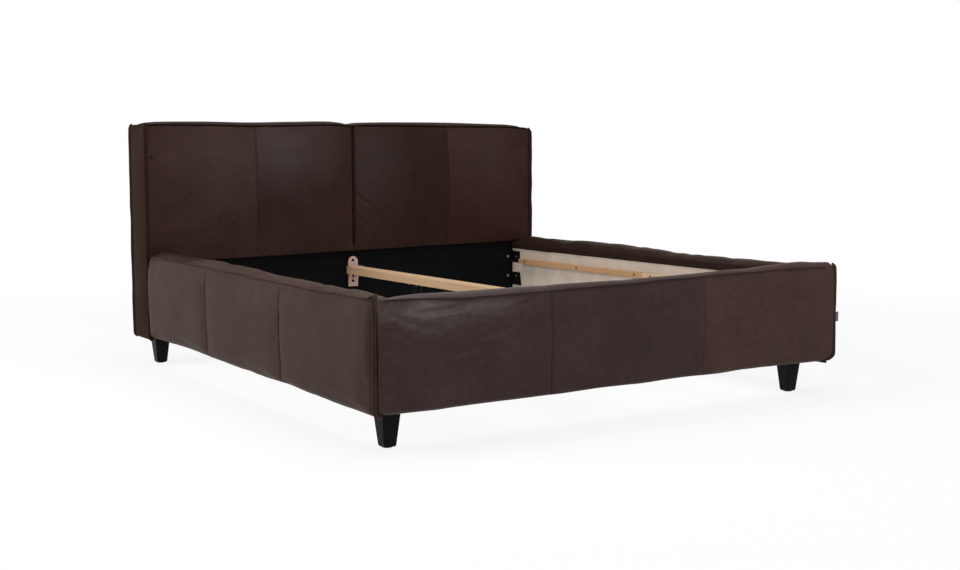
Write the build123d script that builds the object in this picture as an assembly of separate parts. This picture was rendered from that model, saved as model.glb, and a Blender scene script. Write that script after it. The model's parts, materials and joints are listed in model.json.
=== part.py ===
from build123d import *
import math
import os

# Upholstered platform bed frame, in millimetres.
# X runs across the bed, +Y towards the headboard, Z up, with the floor at Z = 0.

# Overall layout
MATTRESS_WIDTH = 1800.0
MATTRESS_LENGTH = 2000.0
MATTRESS_GAP = 10.0  # free room around the mattress on each side
LEG_HEIGHT = 130.0  # floor to the underside of the upholstery
SEAM_HEIGHT = 484.0  # floor to the outer top seam of the rails and footboard
HEAD_HEIGHT = 1053.0  # floor to the headboard's top seam at its corners
HEAD_DEPTH = 177.0  # black cloth face to the seam at the back

# Rail and footboard build-up, from the inner face outwards
LINING = 2.0
BOARD = 25.0
SIDE_PAD = 53.0  # foam and leather outside the board
LEATHER = 2.0
TOP_PAD = 9.0  # board's upper edge below the seam
SKIRT = 8.0  # padding that rolls over the top onto the inner face
SKIRT_LAP = 28.0  # how far the skirt hangs below the board's upper edge
SKIRT_TURN = 6.0  # where the skirt turns into the rounded top, below the seam
RAIL_CROWN = 25.0  # rounded top above the seam, in the middle of a panel
RAIL_CROWN_DRAWN = 21.0  # the same at a sewn seam
PANEL_BULGE = 9.0  # swell of a side panel between its seams
SEAM_BULGE = 3.0  # swell left at a sewn seam
END_BULGE = 1.0  # swell left at a free end
LOWER_ROLL = 8.0  # rounding of the lower outer edge
PANEL_COUNT = 3
RAIL_FOOT_GAP = 0.5
RAIL_HEAD_GAP = 4.0
FOOT_END_PAD = 20.0  # foam and leather over the ends of the footboard
SKIRT_END_GAP = 1.0

# Leather flange that stands out along the vertical corner seams
FLANGE_WIDTH = 18.0
FLANGE_THICKNESS = 4.0
TAG_WIDTH = 13.0
TAG_HEIGHT = 46.0
TAG_THICKNESS = 1.2
TAG_RISE = 130.0  # lower edge of the tag above the underside of the upholstery

# Headboard box and its padding
CLOTH = 2.0
HEAD_PANEL = 18.0
HEAD_BOARD = 22.0
HEAD_BACK_PANEL = 4.0
HEAD_SIDE_PAD = 18.0
HEAD_TOP_PAD = 18.0
HEAD_BACK_PAD = 12.0
HEAD_BACK_BULGE = 8.0
HEAD_SIDE_BULGE = 6.0
HEAD_TOP_BULGE = 8.0
HEAD_CROWN = 16.0  # rise of the top edge in the middle of each pad
HEAD_NOTCH = 8.0  # rise of the top edge left at the centre channel
PAD_TUCK = 19.0  # lower edge of the front pads below the rails' seam
PAD_PROUD = 20.0  # seam of the front pads in front of the black cloth
PAD_BULGE = 25.0
PAD_ROLL = 10.0  # rounding of the pads' upper and lower front edges
PAD_CHANNEL = 8.0  # gap between the two pads, filled by the welt
WELT_SINK = 6.0
WELT_GAP = 0.4
RETURN_GAP = 1.0  # between the rail boards and the leather return beside them
CLOTH_EDGE_GAP = 2.0
NOTCH_GAP = 5.0  # room under the pads for the ends of the rail boards

# Ledger strips that carry the slatted base
LEDGER_DEPTH = 30.0
LEDGER_HEIGHT = 23.0
LEDGER_SINK = 85.0  # ledger's top below the rails' seam
LEDGER_END_GAP = 18.0  # between a ledger and the corner brackets
LEDGER_HEAD_LENGTH = 980.0
LEDGER_JOINT_GAP = 1.0
LEDGER_SCREW_COUNT = 3
LEDGER_SCREW_INSET = 55.0

# Corner brackets
BRACKET_LEG = 70.0
BRACKET_STEEL = 3.0
BRACKET_SKIRT_GAP = 13.0  # between the upper bracket and the skirt above it
BRACKET_SPACING = 98.0  # between the bolts of the two brackets in a corner
BRACKET_RISE = 28.0
BRACKET_DROP = 30.0
BRACKET_LOW_RISE = 19.0  # the same two sizes of the lower bracket
BRACKET_LONG_DROP = 46.0
BRACKET_SLANT = 12.0
BRACKET_BOLT_IN = 31.0  # bolt from the rail's inner face
BRACKET_SCREW_IN = 42.0  # screw from the end face
BRACKET_SLOT_IN = 52.0
BRACKET_SLOT_LENGTH = 16.0
BRACKET_SLOT_WIDTH = 6.0

# Centre beam, its hooks and the hanger plates
BEAM_WIDTH = 70.0
BEAM_HEIGHT = 33.0
BEAM_SINK = 2.0  # beam's top below the ledgers' top
HANGER_WIDTH = 50.0
HANGER_STEEL = 3.0
HANGER_DROP = 61.0  # plate below the beam
HANGER_RISE = 48.0  # plate above the beam
KEYHOLE_TOP_IN = 18.0  # highest keyhole below the plate's top
KEYHOLE_LOW_IN = 26.0  # lowest keyhole above the plate's lower edge
KEYHOLE_SPACING = 25.0  # between the two lower keyholes
KEYHOLE_RADIUS = 7.0
KEYHOLE_SLOT = 5.2  # width of the narrow slot below each round hole
KEYHOLE_DROP = 11.0
EAR_WIDTH = 10.0
EAR_LIP = 10.0
EAR_DROP = 20.0  # seat of the ears below the beam
HOOK_STEEL = 3.0
HOOK_EDGE = 1.0  # hook's sides inside the beam's sides
HOOK_DEPTH = 40.0
HOOK_LAP = 2.0  # lower edge of the hook between its tongues, above the beam's underside
HOOK_NOTCH = 14.0  # width of the notch that lets the hook rise past the highest screw
HOOK_WEB = 4.0  # hook left under the notch
HOOK_SCREW_SPACING = 40.0
HOOK_SCREW_IN = 26.0
SEAT_GAP = 0.3

# Centre legs with their height adjusters
CENTRE_LEG_SPACING = 797.0  # between the two legs along the beam
CENTRE_PLATE_EDGE = 5.0  # plate's sides inside the beam's sides
CENTRE_PLATE_LENGTH = 84.0
CENTRE_PLATE_STEEL = 4.0
CENTRE_SCREW_INSET = 7.5
TUBE_WALL = 5.0
ADJUSTER_RADIUS = 15.0
ADJUSTER_LENGTH = 62.0
ADJUSTER_TRAVEL = 10.0
ADJUSTER_SPARE = 1.5
COLLAR_LIP = 6.0  # collar beyond the adjuster's shaft
COLLAR_HEIGHT = 12.0
COLLAR_GRIPS = 12
COLLAR_GRIP_RADIUS = 2.5
SPIGOT_RADIUS = 7.0
SPIGOT_LENGTH = 6.0
SWIVEL_RADIUS = 26.0
SWIVEL_HEIGHT = 10.0
TURNING_GAP = 0.2

# Legs
LEG_TOP_SIZE = 70.0
LEG_FOOT_SIZE = 45.0
LEG_TIP_SIZE = 40.0
LEG_TIP_HEIGHT = 5.0
LEG_EDGE = 4.0
LEG_INSET = 20.0  # leg axis from the rail's inner face
FOOT_LEG_IN = 48.0  # foot leg axis behind the footboard's inner face
HEAD_LEG_IN = 39.0  # head leg axis in front of the seam at the back
LEG_BLOCK_WIDTH = 70.0
LEG_BLOCK_GAP = 22.0  # between a corner block and the lower bracket
STUD_RADIUS = 4.0
STUD_IN_LEG = 40.0
STUD_IN_BLOCK = 45.0
GLIDE_RADIUS = 16.0
GLIDE_HEIGHT = 3.0

# Wood screws and bolts
SCREW_RADIUS = 2.25
SCREW_HEAD_RADIUS = 4.5
SCREW_HEAD = 2.5
SCREW_BITE = 15.0  # length in the wood behind the fixed piece
BOLT_RADIUS = 4.0
BOLT_HEAD_RADIUS = 7.0
BOLT_HEAD = 5.0
BOLT_BITE = 14.0
HOLE_GAP = 0.2

# Planes and faces that the pieces share
board_top = SEAM_HEIGHT - TOP_PAD
skirt_edge = board_top - SKIRT_LAP
pad_low = SEAM_HEIGHT - PAD_TUCK
bracket_upper = skirt_edge - BRACKET_SKIRT_GAP - BRACKET_RISE
bracket_lower = bracket_upper - BRACKET_SPACING
block_top = bracket_lower - BRACKET_LONG_DROP - LEG_BLOCK_GAP
ledger_top = SEAM_HEIGHT - LEDGER_SINK
ledger_low = ledger_top - LEDGER_HEIGHT
beam_top = ledger_top - BEAM_SINK
beam_low = beam_top - BEAM_HEIGHT
hanger_low = beam_low - HANGER_DROP
hanger_top = beam_top + HANGER_RISE
keyhole_low = hanger_low + KEYHOLE_LOW_IN
keyhole_heights = (hanger_top - KEYHOLE_TOP_IN, keyhole_low + KEYHOLE_SPACING, keyhole_low)
ear_seat = beam_low - EAR_DROP
hook_shoulder = beam_low + HOOK_LAP
inner_half = MATTRESS_WIDTH / 2 + MATTRESS_GAP
inner_length = MATTRESS_LENGTH + 2 * MATTRESS_GAP
wall = LINING + BOARD + SIDE_PAD
half_width = inner_half + wall
foot_front = -(wall + inner_length + HEAD_DEPTH) / 2
foot_inner = foot_front + wall
head_face = foot_inner + inner_length
head_back = head_face + HEAD_DEPTH
middle = (foot_inner + head_face) / 2
board_low = LEG_HEIGHT + LEATHER
board_depth = LINING + BOARD
rail_start = foot_inner + RAIL_FOOT_GAP
rail_end = head_face - PAD_PROUD - RAIL_HEAD_GAP
panel_front = head_face + CLOTH
box_front = panel_front + HEAD_PANEL
box_rear = head_back - HEAD_BACK_PAD - HEAD_BACK_PANEL
back_face = head_back - HEAD_BACK_PAD
head_half = half_width - HEAD_SIDE_PAD
head_board_top = HEAD_HEIGHT - HEAD_TOP_PAD
rib_top = head_board_top - HEAD_BOARD
return_inner = inner_half + board_depth + RETURN_GAP
hook_half = BEAM_WIDTH / 2 - HOOK_EDGE
leg_x = inner_half - LEG_INSET
foot_leg_y = foot_inner + FOOT_LEG_IN
head_leg_y = head_back - HEAD_LEG_IN
bore_radius = ADJUSTER_RADIUS + TURNING_GAP
tube_radius = bore_radius + TUBE_WALL
collar_radius = ADJUSTER_RADIUS + COLLAR_LIP
collar_low = SWIVEL_HEIGHT + SEAT_GAP
collar_top = collar_low + COLLAR_HEIGHT
tube_low = collar_top + ADJUSTER_TRAVEL + ADJUSTER_SPARE
tube_top = beam_low - CENTRE_PLATE_STEEL
centre_plate_half = BEAM_WIDTH / 2 - CENTRE_PLATE_EDGE
SIDES = (("left", -1), ("right", 1))
# Each end has its face and the direction that points into the bed from it.
ENDS = (("head", head_face, -1), ("foot", foot_inner, 1))
# Each centre leg has its place along the beam.
CENTRE_LEGS = (("head", middle + CENTRE_LEG_SPACING / 2), ("foot", middle - CENTRE_LEG_SPACING / 2))


def block(x0, x1, y0, y1, z0, z1):
    """A box between two corners."""
    centre = Pos((x0 + x1) / 2, (y0 + y1) / 2, (z0 + z1) / 2)
    return centre * Box(abs(x1 - x0), abs(y1 - y0), abs(z1 - z0))


def rod(origin, direction, radius, start, end):
    """A cylinder on the line through origin, from start to end along direction."""
    length = end - start
    return Plane(origin, z_dir=direction) * Pos(0, 0, start + length / 2) * Cylinder(radius, length)


def screw(origin, direction, head_radius, head, radius, length):
    """A round-headed fastener whose head sits on origin and points along direction."""
    return rod(origin, direction, head_radius, 0, head) + rod(origin, direction, radius, -length, 0)


def hole(origin, direction, radius, length):
    """The clearance hole for a fastener of that radius and length."""
    return rod(origin, direction, radius + HOLE_GAP, -length - HOLE_GAP, 0)


def outline(points, arcs):
    """A face through the points in turn, with arcs where a middle point is given for that side."""
    sides = []
    for i, start in enumerate(points):
        end = points[(i + 1) % len(points)]
        if i in arcs:
            sides.append(ThreePointArc(start, arcs[i], end))
        else:
            sides.append(Line(start, end))
    return make_face(sides)


def mirrored(solid):
    """The same piece on the other side of the bed."""
    return mirror(solid, about=Plane.YZ)


def swollen(sections):
    """A padded form through sections that alternate between a seam and the middle of a panel."""
    panels = [loft(sections[i : i + 3]) for i in range(0, len(sections) - 2, 2)]
    form = panels[0]
    for panel in panels[1:]:
        form += panel
    return form


def flange(x, y, x_side, y_side, low, high):
    """A strip standing out diagonally from a vertical corner edge."""
    reach = FLANGE_WIDTH + FLANGE_THICKNESS / 2
    strip = Pos(FLANGE_WIDTH - reach / 2, 0, (low + high) / 2) * Box(reach, FLANGE_THICKNESS, high - low)
    return Pos(x, y, 0) * Rot(0, 0, math.degrees(math.atan2(y_side, x_side))) * strip


# Upholstery of the rails and the footboard


def cover_section(plane, bulge, crown, inset):
    """Section of the padding, from the inner skirt over the top and down the outside to the underside."""
    inner = inset - SKIRT
    outer = wall - inset
    low = LEG_HEIGHT + inset
    skirt_low = skirt_edge + inset
    tuck = LINING - inset / 2
    points = (
        (inner, skirt_low),
        (inner, SEAM_HEIGHT - SKIRT_TURN),
        (outer, SEAM_HEIGHT - inset),
        (outer, low + LOWER_ROLL),
        (wall - LOWER_ROLL, low),
        (tuck, low),
        (tuck, skirt_low),
    )
    top = ((inner + outer) / 2, SEAM_HEIGHT + crown - inset)
    swell = (outer + bulge, (SEAM_HEIGHT + low) / 2)
    return plane * outline(points, {1: top, 2: swell})


def panel_stations(start, end):
    """Places along a cover with their swell and crown: full in each panel, drawn in at each seam."""
    count = 2 * PANEL_COUNT
    stations = []
    for i in range(count + 1):
        place = start + (end - start) * i / count
        if i % 2:
            stations.append((place, PANEL_BULGE, RAIL_CROWN))
        elif i in (0, count):
            stations.append((place, END_BULGE, RAIL_CROWN_DRAWN))
        else:
            stations.append((place, SEAM_BULGE, RAIL_CROWN_DRAWN))
    return stations


def cover(plane_at, start, end, inset):
    """The padded form between two ends, whose sections lie on plane_at(place)."""
    sections = []
    for place, bulge, crown in panel_stations(start + inset, end - inset):
        sections.append(cover_section(plane_at(place), bulge, crown, inset))
    return swollen(sections)


def rail_plane(y):
    return Plane(origin=(inner_half, y, 0), x_dir=(1, 0, 0), z_dir=(0, -1, 0))


def foot_plane(x):
    return Plane(origin=(x, foot_inner, 0), x_dir=(0, -1, 0), z_dir=(-1, 0, 0))


def rail_upholstery():
    """Leather and foam of the right rail."""
    core = block(
        inner_half, inner_half + board_depth, foot_inner, head_face, board_low, board_top
    )
    filling = cover(rail_plane, rail_start, rail_end, LEATHER)
    leather = cover(rail_plane, rail_start, rail_end, 0) - filling - core
    return leather, filling - core


def foot_upholstery():
    """Leather and foam of the footboard, with the corner flanges on the leather."""
    end = half_width - FOOT_END_PAD
    core = block(-end, end, foot_inner, foot_inner - board_depth, board_low, board_top)
    skirt_end = inner_half - SKIRT - SKIRT_END_GAP
    for side in (-1, 1):
        near = side * skirt_end
        far = side * (half_width + SKIRT)
        core += block(near, far, foot_inner, foot_inner + 2 * SKIRT, 0, 2 * SEAM_HEIGHT)
    filling = cover(foot_plane, -half_width, half_width, LEATHER)
    leather = cover(foot_plane, -half_width, half_width, 0) - filling - core
    for side in (-1, 1):
        leather += flange(side * half_width, foot_front, side, -1, LEG_HEIGHT + LOWER_ROLL, SEAM_HEIGHT)
    return leather, filling - core


# Upholstery of the headboard


def lengthwise_plane(x):
    """A plane across X whose own axes are the bed's Y and Z."""
    return Plane(origin=(x, 0, 0), x_dir=(0, 1, 0), z_dir=(1, 0, 0))


def pad_section(x, bulge, crown, inset, back):
    """Section of a front pad between the panel behind it and its swollen face."""
    front = head_face - PAD_PROUD + inset
    low = pad_low + inset
    top = HEAD_HEIGHT + crown - inset
    points = ((back, low), (back, top), (front, top - PAD_ROLL), (front, low + PAD_ROLL))
    swell = (front - bulge, (low + top) / 2)
    return lengthwise_plane(x) * outline(points, {2: swell})


def front_pad(inset, back):
    """The right front pad, from the centre channel to the outer seam."""
    start = PAD_CHANNEL / 2 + inset
    end = half_width - inset
    stations = (
        (start, END_BULGE, HEAD_NOTCH),
        ((start + end) / 2, PAD_BULGE, HEAD_CROWN),
        (end, END_BULGE, 0),
    )
    return swollen([pad_section(x, bulge, crown, inset, back) for x, bulge, crown in stations])


def pad_upholstery():
    """Leather and foam of the right front pad, with the corner flange on the leather."""
    filling = front_pad(LEATHER, panel_front + LEATHER)
    leather = front_pad(0, panel_front) - filling
    leather += flange(half_width, head_face - PAD_PROUD, 1, -1, pad_low, HEAD_HEIGHT - PAD_ROLL)
    behind = block(0, half_width, panel_front, panel_front + 2 * LEATHER, 0, 2 * HEAD_HEIGHT)
    return leather, filling - behind


def head_stations():
    """Places along the headboard with the rise of its top edge and the share of full swell."""
    return (
        (-half_width, 0, END_BULGE / HEAD_BACK_BULGE),
        (-half_width / 2, HEAD_CROWN, 1),
        (0, HEAD_NOTCH, SEAM_BULGE / HEAD_BACK_BULGE),
        (half_width / 2, HEAD_CROWN, 1),
        (half_width, 0, END_BULGE / HEAD_BACK_BULGE),
    )


def top_boxing():
    """Padded strip along the top, between the front pads and the back cover."""
    sections = []
    for x, crown, _ in head_stations():
        top = HEAD_HEIGHT + crown
        points = (
            (panel_front, head_board_top),
            (panel_front, top),
            (back_face, top),
            (back_face, head_board_top),
        )
        swell = ((panel_front + back_face) / 2, top + HEAD_TOP_BULGE)
        sections.append(lengthwise_plane(x) * outline(points, {1: swell}))
    return swollen(sections)


def side_boxing():
    """Padded strip down the right side, with the return that closes the corner beside the rail."""
    points = (
        (head_half, panel_front),
        (half_width, panel_front),
        (half_width, back_face),
        (head_half, back_face),
    )
    swell = (half_width + HEAD_SIDE_BULGE, (panel_front + back_face) / 2)
    strip = extrude(outline(points, {1: swell}), head_board_top - LEG_HEIGHT)
    front = head_face - PAD_PROUD
    high = pad_low - SEAT_GAP
    corner = block(return_inner, half_width, front, panel_front, LEG_HEIGHT, high)
    edge = flange(half_width, front, 1, -1, LEG_HEIGHT, high)
    return Pos(0, 0, LEG_HEIGHT) * strip + corner + edge


def back_cover():
    """Padded cover over the back, swollen between its seams, with the rear corner flanges."""
    sections = []
    for x, crown, share in head_stations():
        top = HEAD_HEIGHT + crown
        points = (
            (back_face, LEG_HEIGHT),
            (back_face, top),
            (head_back, top - LOWER_ROLL),
            (head_back, LEG_HEIGHT + LOWER_ROLL),
        )
        swell = (head_back + HEAD_BACK_BULGE * share, (LEG_HEIGHT + top) / 2)
        sections.append(lengthwise_plane(x) * outline(points, {2: swell}))
    shell = swollen(sections)
    low = LEG_HEIGHT + LOWER_ROLL
    for side in (-1, 1):
        shell += flange(side * half_width, head_back, side, 1, low, HEAD_HEIGHT - LOWER_ROLL)
    return shell


def centre_welt():
    """Narrow leather strip in the channel between the two front pads."""
    half = PAD_CHANNEL / 2 - WELT_GAP
    front = head_face - PAD_PROUD + WELT_SINK
    return block(-half, half, front, panel_front, pad_low, HEAD_HEIGHT)


# Fasteners and where they sit


def ledger_spans():
    """The two strips of one ledger, as their start and end along Y."""
    end_gap = BRACKET_LEG + BRACKET_SLANT + LEDGER_END_GAP
    start = foot_inner + end_gap
    end = head_face - end_gap
    joint = end - LEDGER_HEAD_LENGTH
    return ((start, joint - LEDGER_JOINT_GAP), (joint, end))


def ledger_screw_places():
    """Screw heads on the inner faces of both ledgers, with the direction that they face."""
    places = []
    for side in (-1, 1):
        for start, end in ledger_spans():
            step = (end - start - 2 * LEDGER_SCREW_INSET) / (LEDGER_SCREW_COUNT - 1)
            for i in range(LEDGER_SCREW_COUNT):
                y = start + LEDGER_SCREW_INSET + i * step
                x = side * (inner_half - LEDGER_DEPTH)
                places.append(((x, y, ledger_low + LEDGER_HEIGHT / 2), (-side, 0, 0)))
    return places


def bracket_bolt_places(ends):
    """Bolt heads on the end legs of the corner brackets."""
    places = []
    for _, face, inwards in ends:
        for side in (-1, 1):
            for height in (bracket_upper, bracket_lower):
                x = side * (inner_half - BRACKET_BOLT_IN)
                places.append(((x, face + inwards * BRACKET_STEEL, height), (0, inwards, 0)))
    return places


def bracket_screw_places():
    """Screw heads on the rail legs of the corner brackets."""
    places = []
    for _, face, inwards in ENDS:
        for side in (-1, 1):
            for height in (bracket_upper, bracket_lower):
                y = face + inwards * BRACKET_SCREW_IN
                places.append(((side * (inner_half - BRACKET_STEEL), y, height), (-side, 0, 0)))
    return places


def hanger_screw_places(ends):
    """Screw heads in the narrow ends of the highest and lowest keyholes."""
    places = []
    for _, face, inwards in ends:
        for height in (keyhole_heights[0], keyhole_heights[-1]):
            places.append(((0, face + inwards * HANGER_STEEL, height - KEYHOLE_DROP), (0, inwards, 0)))
    return places


def hook_screw_places():
    """Screw heads on top of the beam hooks."""
    places = []
    for _, face, inwards in ENDS:
        for side in (-1, 1):
            y = face + inwards * (HANGER_STEEL + SEAT_GAP + HOOK_SCREW_IN)
            places.append(((side * HOOK_SCREW_SPACING / 2, y, beam_top + HOOK_STEEL), (0, 0, 1)))
    return places


def centre_screw_places(legs):
    """Screw heads under the plates of the centre legs."""
    places = []
    across = centre_plate_half - CENTRE_SCREW_INSET
    along = CENTRE_PLATE_LENGTH / 2 - CENTRE_SCREW_INSET
    for _, leg_y in legs:
        for x in (-across, across):
            for y in (leg_y - along, leg_y + along):
                places.append(((x, y, tube_top), (0, 0, -1)))
    return places


ledger_screw_length = LEDGER_DEPTH + LINING + SCREW_BITE
bracket_screw_length = BRACKET_STEEL + LINING + SCREW_BITE
bracket_bolt_length = BRACKET_STEEL + max(LINING, CLOTH) + BOLT_BITE
hanger_screw_length = HANGER_STEEL + max(LINING, CLOTH) + BOLT_BITE
hook_screw_length = HOOK_STEEL + SCREW_BITE
centre_screw_length = CENTRE_PLATE_STEEL + SCREW_BITE


def screws(places, length):
    """A group of wood screws."""
    group = [screw(*place, SCREW_HEAD_RADIUS, SCREW_HEAD, SCREW_RADIUS, length) for place in places]
    return Compound(children=group)


def drilled(solid, places, radius, length):
    """The solid with the clearance holes of those fasteners."""
    for origin, direction in places:
        solid -= hole(origin, direction, radius, length)
    return solid


def on_side(places, side):
    """The fasteners of one side of the bed."""
    return [place for place in places if place[0][0] * side > 0]


# Boards, linings and ledgers


def rail_layer(start, end, side):
    """A board or lining of a side rail, notched at the head where it passes under a pad."""
    near = side * (inner_half + start)
    far = side * (inner_half + end)
    layer = block(near, far, foot_inner, head_face, board_low, board_top)
    layer -= block(near, far, rail_end, head_face, pad_low - NOTCH_GAP, board_top)
    layer = drilled(layer, on_side(ledger_screw_places(), side), SCREW_RADIUS, ledger_screw_length)
    return drilled(layer, on_side(bracket_screw_places(), side), SCREW_RADIUS, bracket_screw_length)


def end_layer(half, y0, y1, z0, z1, end):
    """A board or lining across an end of the bed, with the holes for brackets and hanger."""
    layer = block(-half, half, y0, y1, z0, z1)
    layer = drilled(layer, bracket_bolt_places([end]), BOLT_RADIUS, bracket_bolt_length)
    return drilled(layer, hanger_screw_places([end]), SCREW_RADIUS, hanger_screw_length)


def ledger(side):
    """The two strips along one rail."""
    places = on_side(ledger_screw_places(), side)
    strips = []
    for start, end in ledger_spans():
        strip = block(
            side * (inner_half - LEDGER_DEPTH), side * inner_half, start, end, ledger_low, ledger_top
        )
        inside = [place for place in places if start < place[0][1] < end]
        strips.append(drilled(strip, inside, SCREW_RADIUS, ledger_screw_length))
    return Compound(children=strips)


# Metalwork


def bracket(face, inwards, side, height, rise, drop, slant):
    """An angle that ties an end board to a rail, with a bolt hole, a slot and a screw hole."""
    low = height - drop
    high = height + rise
    edge = side * inner_half
    angle = block(
        edge, edge - side * BRACKET_LEG, face, face + inwards * BRACKET_STEEL, low, high
    )
    lower_reach = BRACKET_LEG + slant
    profile = make_face(
        Polyline(
            (face, low),
            (face + inwards * lower_reach, low),
            (face + inwards * BRACKET_LEG, high),
            (face, high),
            close=True,
        )
    )
    angle += extrude(lengthwise_plane(edge) * profile, -side * BRACKET_STEEL)
    bolt = ((edge - side * BRACKET_BOLT_IN, face + inwards * BRACKET_STEEL, height), (0, inwards, 0))
    fixing = ((edge - side * BRACKET_STEEL, face + inwards * BRACKET_SCREW_IN, height), (-side, 0, 0))
    angle = drilled(angle, [bolt], BOLT_RADIUS, BRACKET_STEEL)
    angle = drilled(angle, [fixing], SCREW_RADIUS, BRACKET_STEEL)
    slot = Plane((edge - side * BRACKET_SLOT_IN, face, height), x_dir=(1, 0, 0), z_dir=(0, inwards, 0))
    cut = extrude(SlotOverall(BRACKET_SLOT_LENGTH, BRACKET_SLOT_WIDTH), BRACKET_STEEL)
    return angle - slot * cut


def brackets(face, inwards):
    """The four angles at one end of the bed."""
    group = []
    for side in (-1, 1):
        group.append(bracket(face, inwards, side, bracket_upper, BRACKET_RISE, BRACKET_DROP, 0))
        low_sizes = (BRACKET_LOW_RISE, BRACKET_LONG_DROP, BRACKET_SLANT)
        group.append(bracket(face, inwards, side, bracket_lower, *low_sizes))
    return Compound(children=group)


def hanger_plate(face, inwards):
    """Round-topped plate with three keyholes and two ears that hold the beam hook."""
    half = HANGER_WIDTH / 2
    front = face + inwards * HANGER_STEEL
    plate = block(-half, half, face, front, hanger_low, hanger_top - half)
    plate += rod((0, face, hanger_top - half), (0, inwards, 0), half, 0, HANGER_STEEL)
    for height in keyhole_heights:
        plate -= rod((0, face, height), (0, inwards, 0), KEYHOLE_RADIUS, 0, HANGER_STEEL)
        plate -= rod((0, face, height - KEYHOLE_DROP), (0, inwards, 0), KEYHOLE_SLOT / 2, 0, HANGER_STEEL)
        plate -= block(-KEYHOLE_SLOT / 2, KEYHOLE_SLOT / 2, face, front, height - KEYHOLE_DROP, height)
    pocket = front + inwards * (HOOK_STEEL + 2 * SEAT_GAP)
    outer = pocket + inwards * HANGER_STEEL
    for side in (-1, 1):
        inner = side * (half - EAR_WIDTH)
        plate += block(inner, side * half, front, outer, ear_seat - HANGER_STEEL, ear_seat)
        plate += block(inner, side * half, pocket, outer, ear_seat, ear_seat + EAR_LIP)
    return plate


def beam_hook(face, inwards):
    """Angle over the beam's end, with a notch and two tongues that drop behind the hanger plate's ears."""
    outer = face + inwards * (HANGER_STEEL + SEAT_GAP)
    inner = outer + inwards * HOOK_STEEL
    reach = outer + inwards * HOOK_DEPTH
    hook = block(-hook_half, hook_half, outer, reach, beam_top, beam_top + HOOK_STEEL)
    hook += block(-hook_half, hook_half, outer, inner, hook_shoulder, beam_top)
    for side in (-1, 1):
        near = side * (HANGER_WIDTH / 2 - EAR_WIDTH)
        far = side * HANGER_WIDTH / 2
        hook += block(near, far, outer, inner, ear_seat + SEAT_GAP, hook_shoulder)
    hook -= block(
        -HOOK_NOTCH / 2, HOOK_NOTCH / 2, outer, inner, hook_shoulder + HOOK_WEB, beam_top + HOOK_STEEL
    )
    places = [place for place in hook_screw_places() if abs(place[0][1] - face) < HOOK_DEPTH + HANGER_STEEL]
    return drilled(hook, places, SCREW_RADIUS, HOOK_STEEL)


def centre_beam():
    """Timber down the middle, between the two hooks."""
    end_gap = HANGER_STEEL + SEAT_GAP + HOOK_STEEL
    half = BEAM_WIDTH / 2
    beam = block(-half, half, foot_inner + end_gap, head_face - end_gap, beam_low, beam_top)
    beam = drilled(beam, hook_screw_places(), SCREW_RADIUS, hook_screw_length)
    return drilled(beam, centre_screw_places(CENTRE_LEGS), SCREW_RADIUS, centre_screw_length)


# Centre legs


def centre_plate(centre_leg):
    """Plate between the beam and a centre leg's tube."""
    half = CENTRE_PLATE_LENGTH / 2
    y = centre_leg[1]
    plate = block(-centre_plate_half, centre_plate_half, y - half, y + half, tube_top, beam_low)
    return drilled(plate, centre_screw_places([centre_leg]), SCREW_RADIUS, CENTRE_PLATE_STEEL)


def centre_rod(y, radius, low, high):
    """An upright rod on the axis of a centre leg."""
    return rod((0, y, 0), (0, 0, 1), radius, low, high)


def centre_tube(y):
    """Tube of a centre leg, bored for the height adjuster."""
    return centre_rod(y, tube_radius, tube_low, tube_top) - centre_rod(y, bore_radius, tube_low, tube_top)


def height_adjuster(y):
    """Screw of a centre leg, with its grip collar and the spigot that turns in the swivel pad."""
    collar = centre_rod(y, collar_radius, collar_low, collar_top)
    for i in range(COLLAR_GRIPS):
        turn = 2 * math.pi * i / COLLAR_GRIPS
        place = (collar_radius * math.cos(turn), y + collar_radius * math.sin(turn), 0)
        collar -= rod(place, (0, 0, 1), COLLAR_GRIP_RADIUS, collar_low, collar_top)
    collar += centre_rod(y, ADJUSTER_RADIUS, collar_top, collar_top + ADJUSTER_LENGTH)
    return collar + centre_rod(y, SPIGOT_RADIUS, collar_low - SPIGOT_LENGTH, collar_low)


def swivel_pad(y):
    """Pad on the floor under a centre leg, with the socket for the adjuster's spigot."""
    socket_low = collar_low - SPIGOT_LENGTH - SEAT_GAP
    socket = centre_rod(y, SPIGOT_RADIUS + TURNING_GAP, socket_low, SWIVEL_HEIGHT)
    return centre_rod(y, SWIVEL_RADIUS, 0, SWIVEL_HEIGHT) - socket


# Legs


def leg(x, y):
    """Square tapered leg with a small chamfer at its foot and a bore for its stud."""
    sections = []
    for size, height in (
        (LEG_TIP_SIZE, GLIDE_HEIGHT),
        (LEG_FOOT_SIZE, GLIDE_HEIGHT + LEG_TIP_HEIGHT),
        (LEG_TOP_SIZE, LEG_HEIGHT),
    ):
        sections.append(Pos(x, y, height) * RectangleRounded(size, size, LEG_EDGE))
    bore = rod((x, y, 0), (0, 0, 1), STUD_RADIUS + HOLE_GAP, LEG_HEIGHT - STUD_IN_LEG, LEG_HEIGHT)
    return loft(sections, ruled=True) - bore


def leg_block(x0, x1, y0, y1, x, y):
    """Corner block that takes a leg's stud."""
    body = block(x0, x1, y0, y1, LEG_HEIGHT, block_top)
    return body - rod((x, y, 0), (0, 0, 1), STUD_RADIUS + HOLE_GAP, LEG_HEIGHT, LEG_HEIGHT + STUD_IN_BLOCK)


LEG_PLACES = {
    "foot_left": (-leg_x, foot_leg_y),
    "foot_right": (leg_x, foot_leg_y),
    "head_left": (-leg_x, head_leg_y),
    "head_right": (leg_x, head_leg_y),
}


def leg_rods(radius, low, high):
    """One upright rod on each leg's axis."""
    places = LEG_PLACES.values()
    return Compound(children=[rod((x, y, 0), (0, 0, 1), radius, low, high) for x, y in places])


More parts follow.
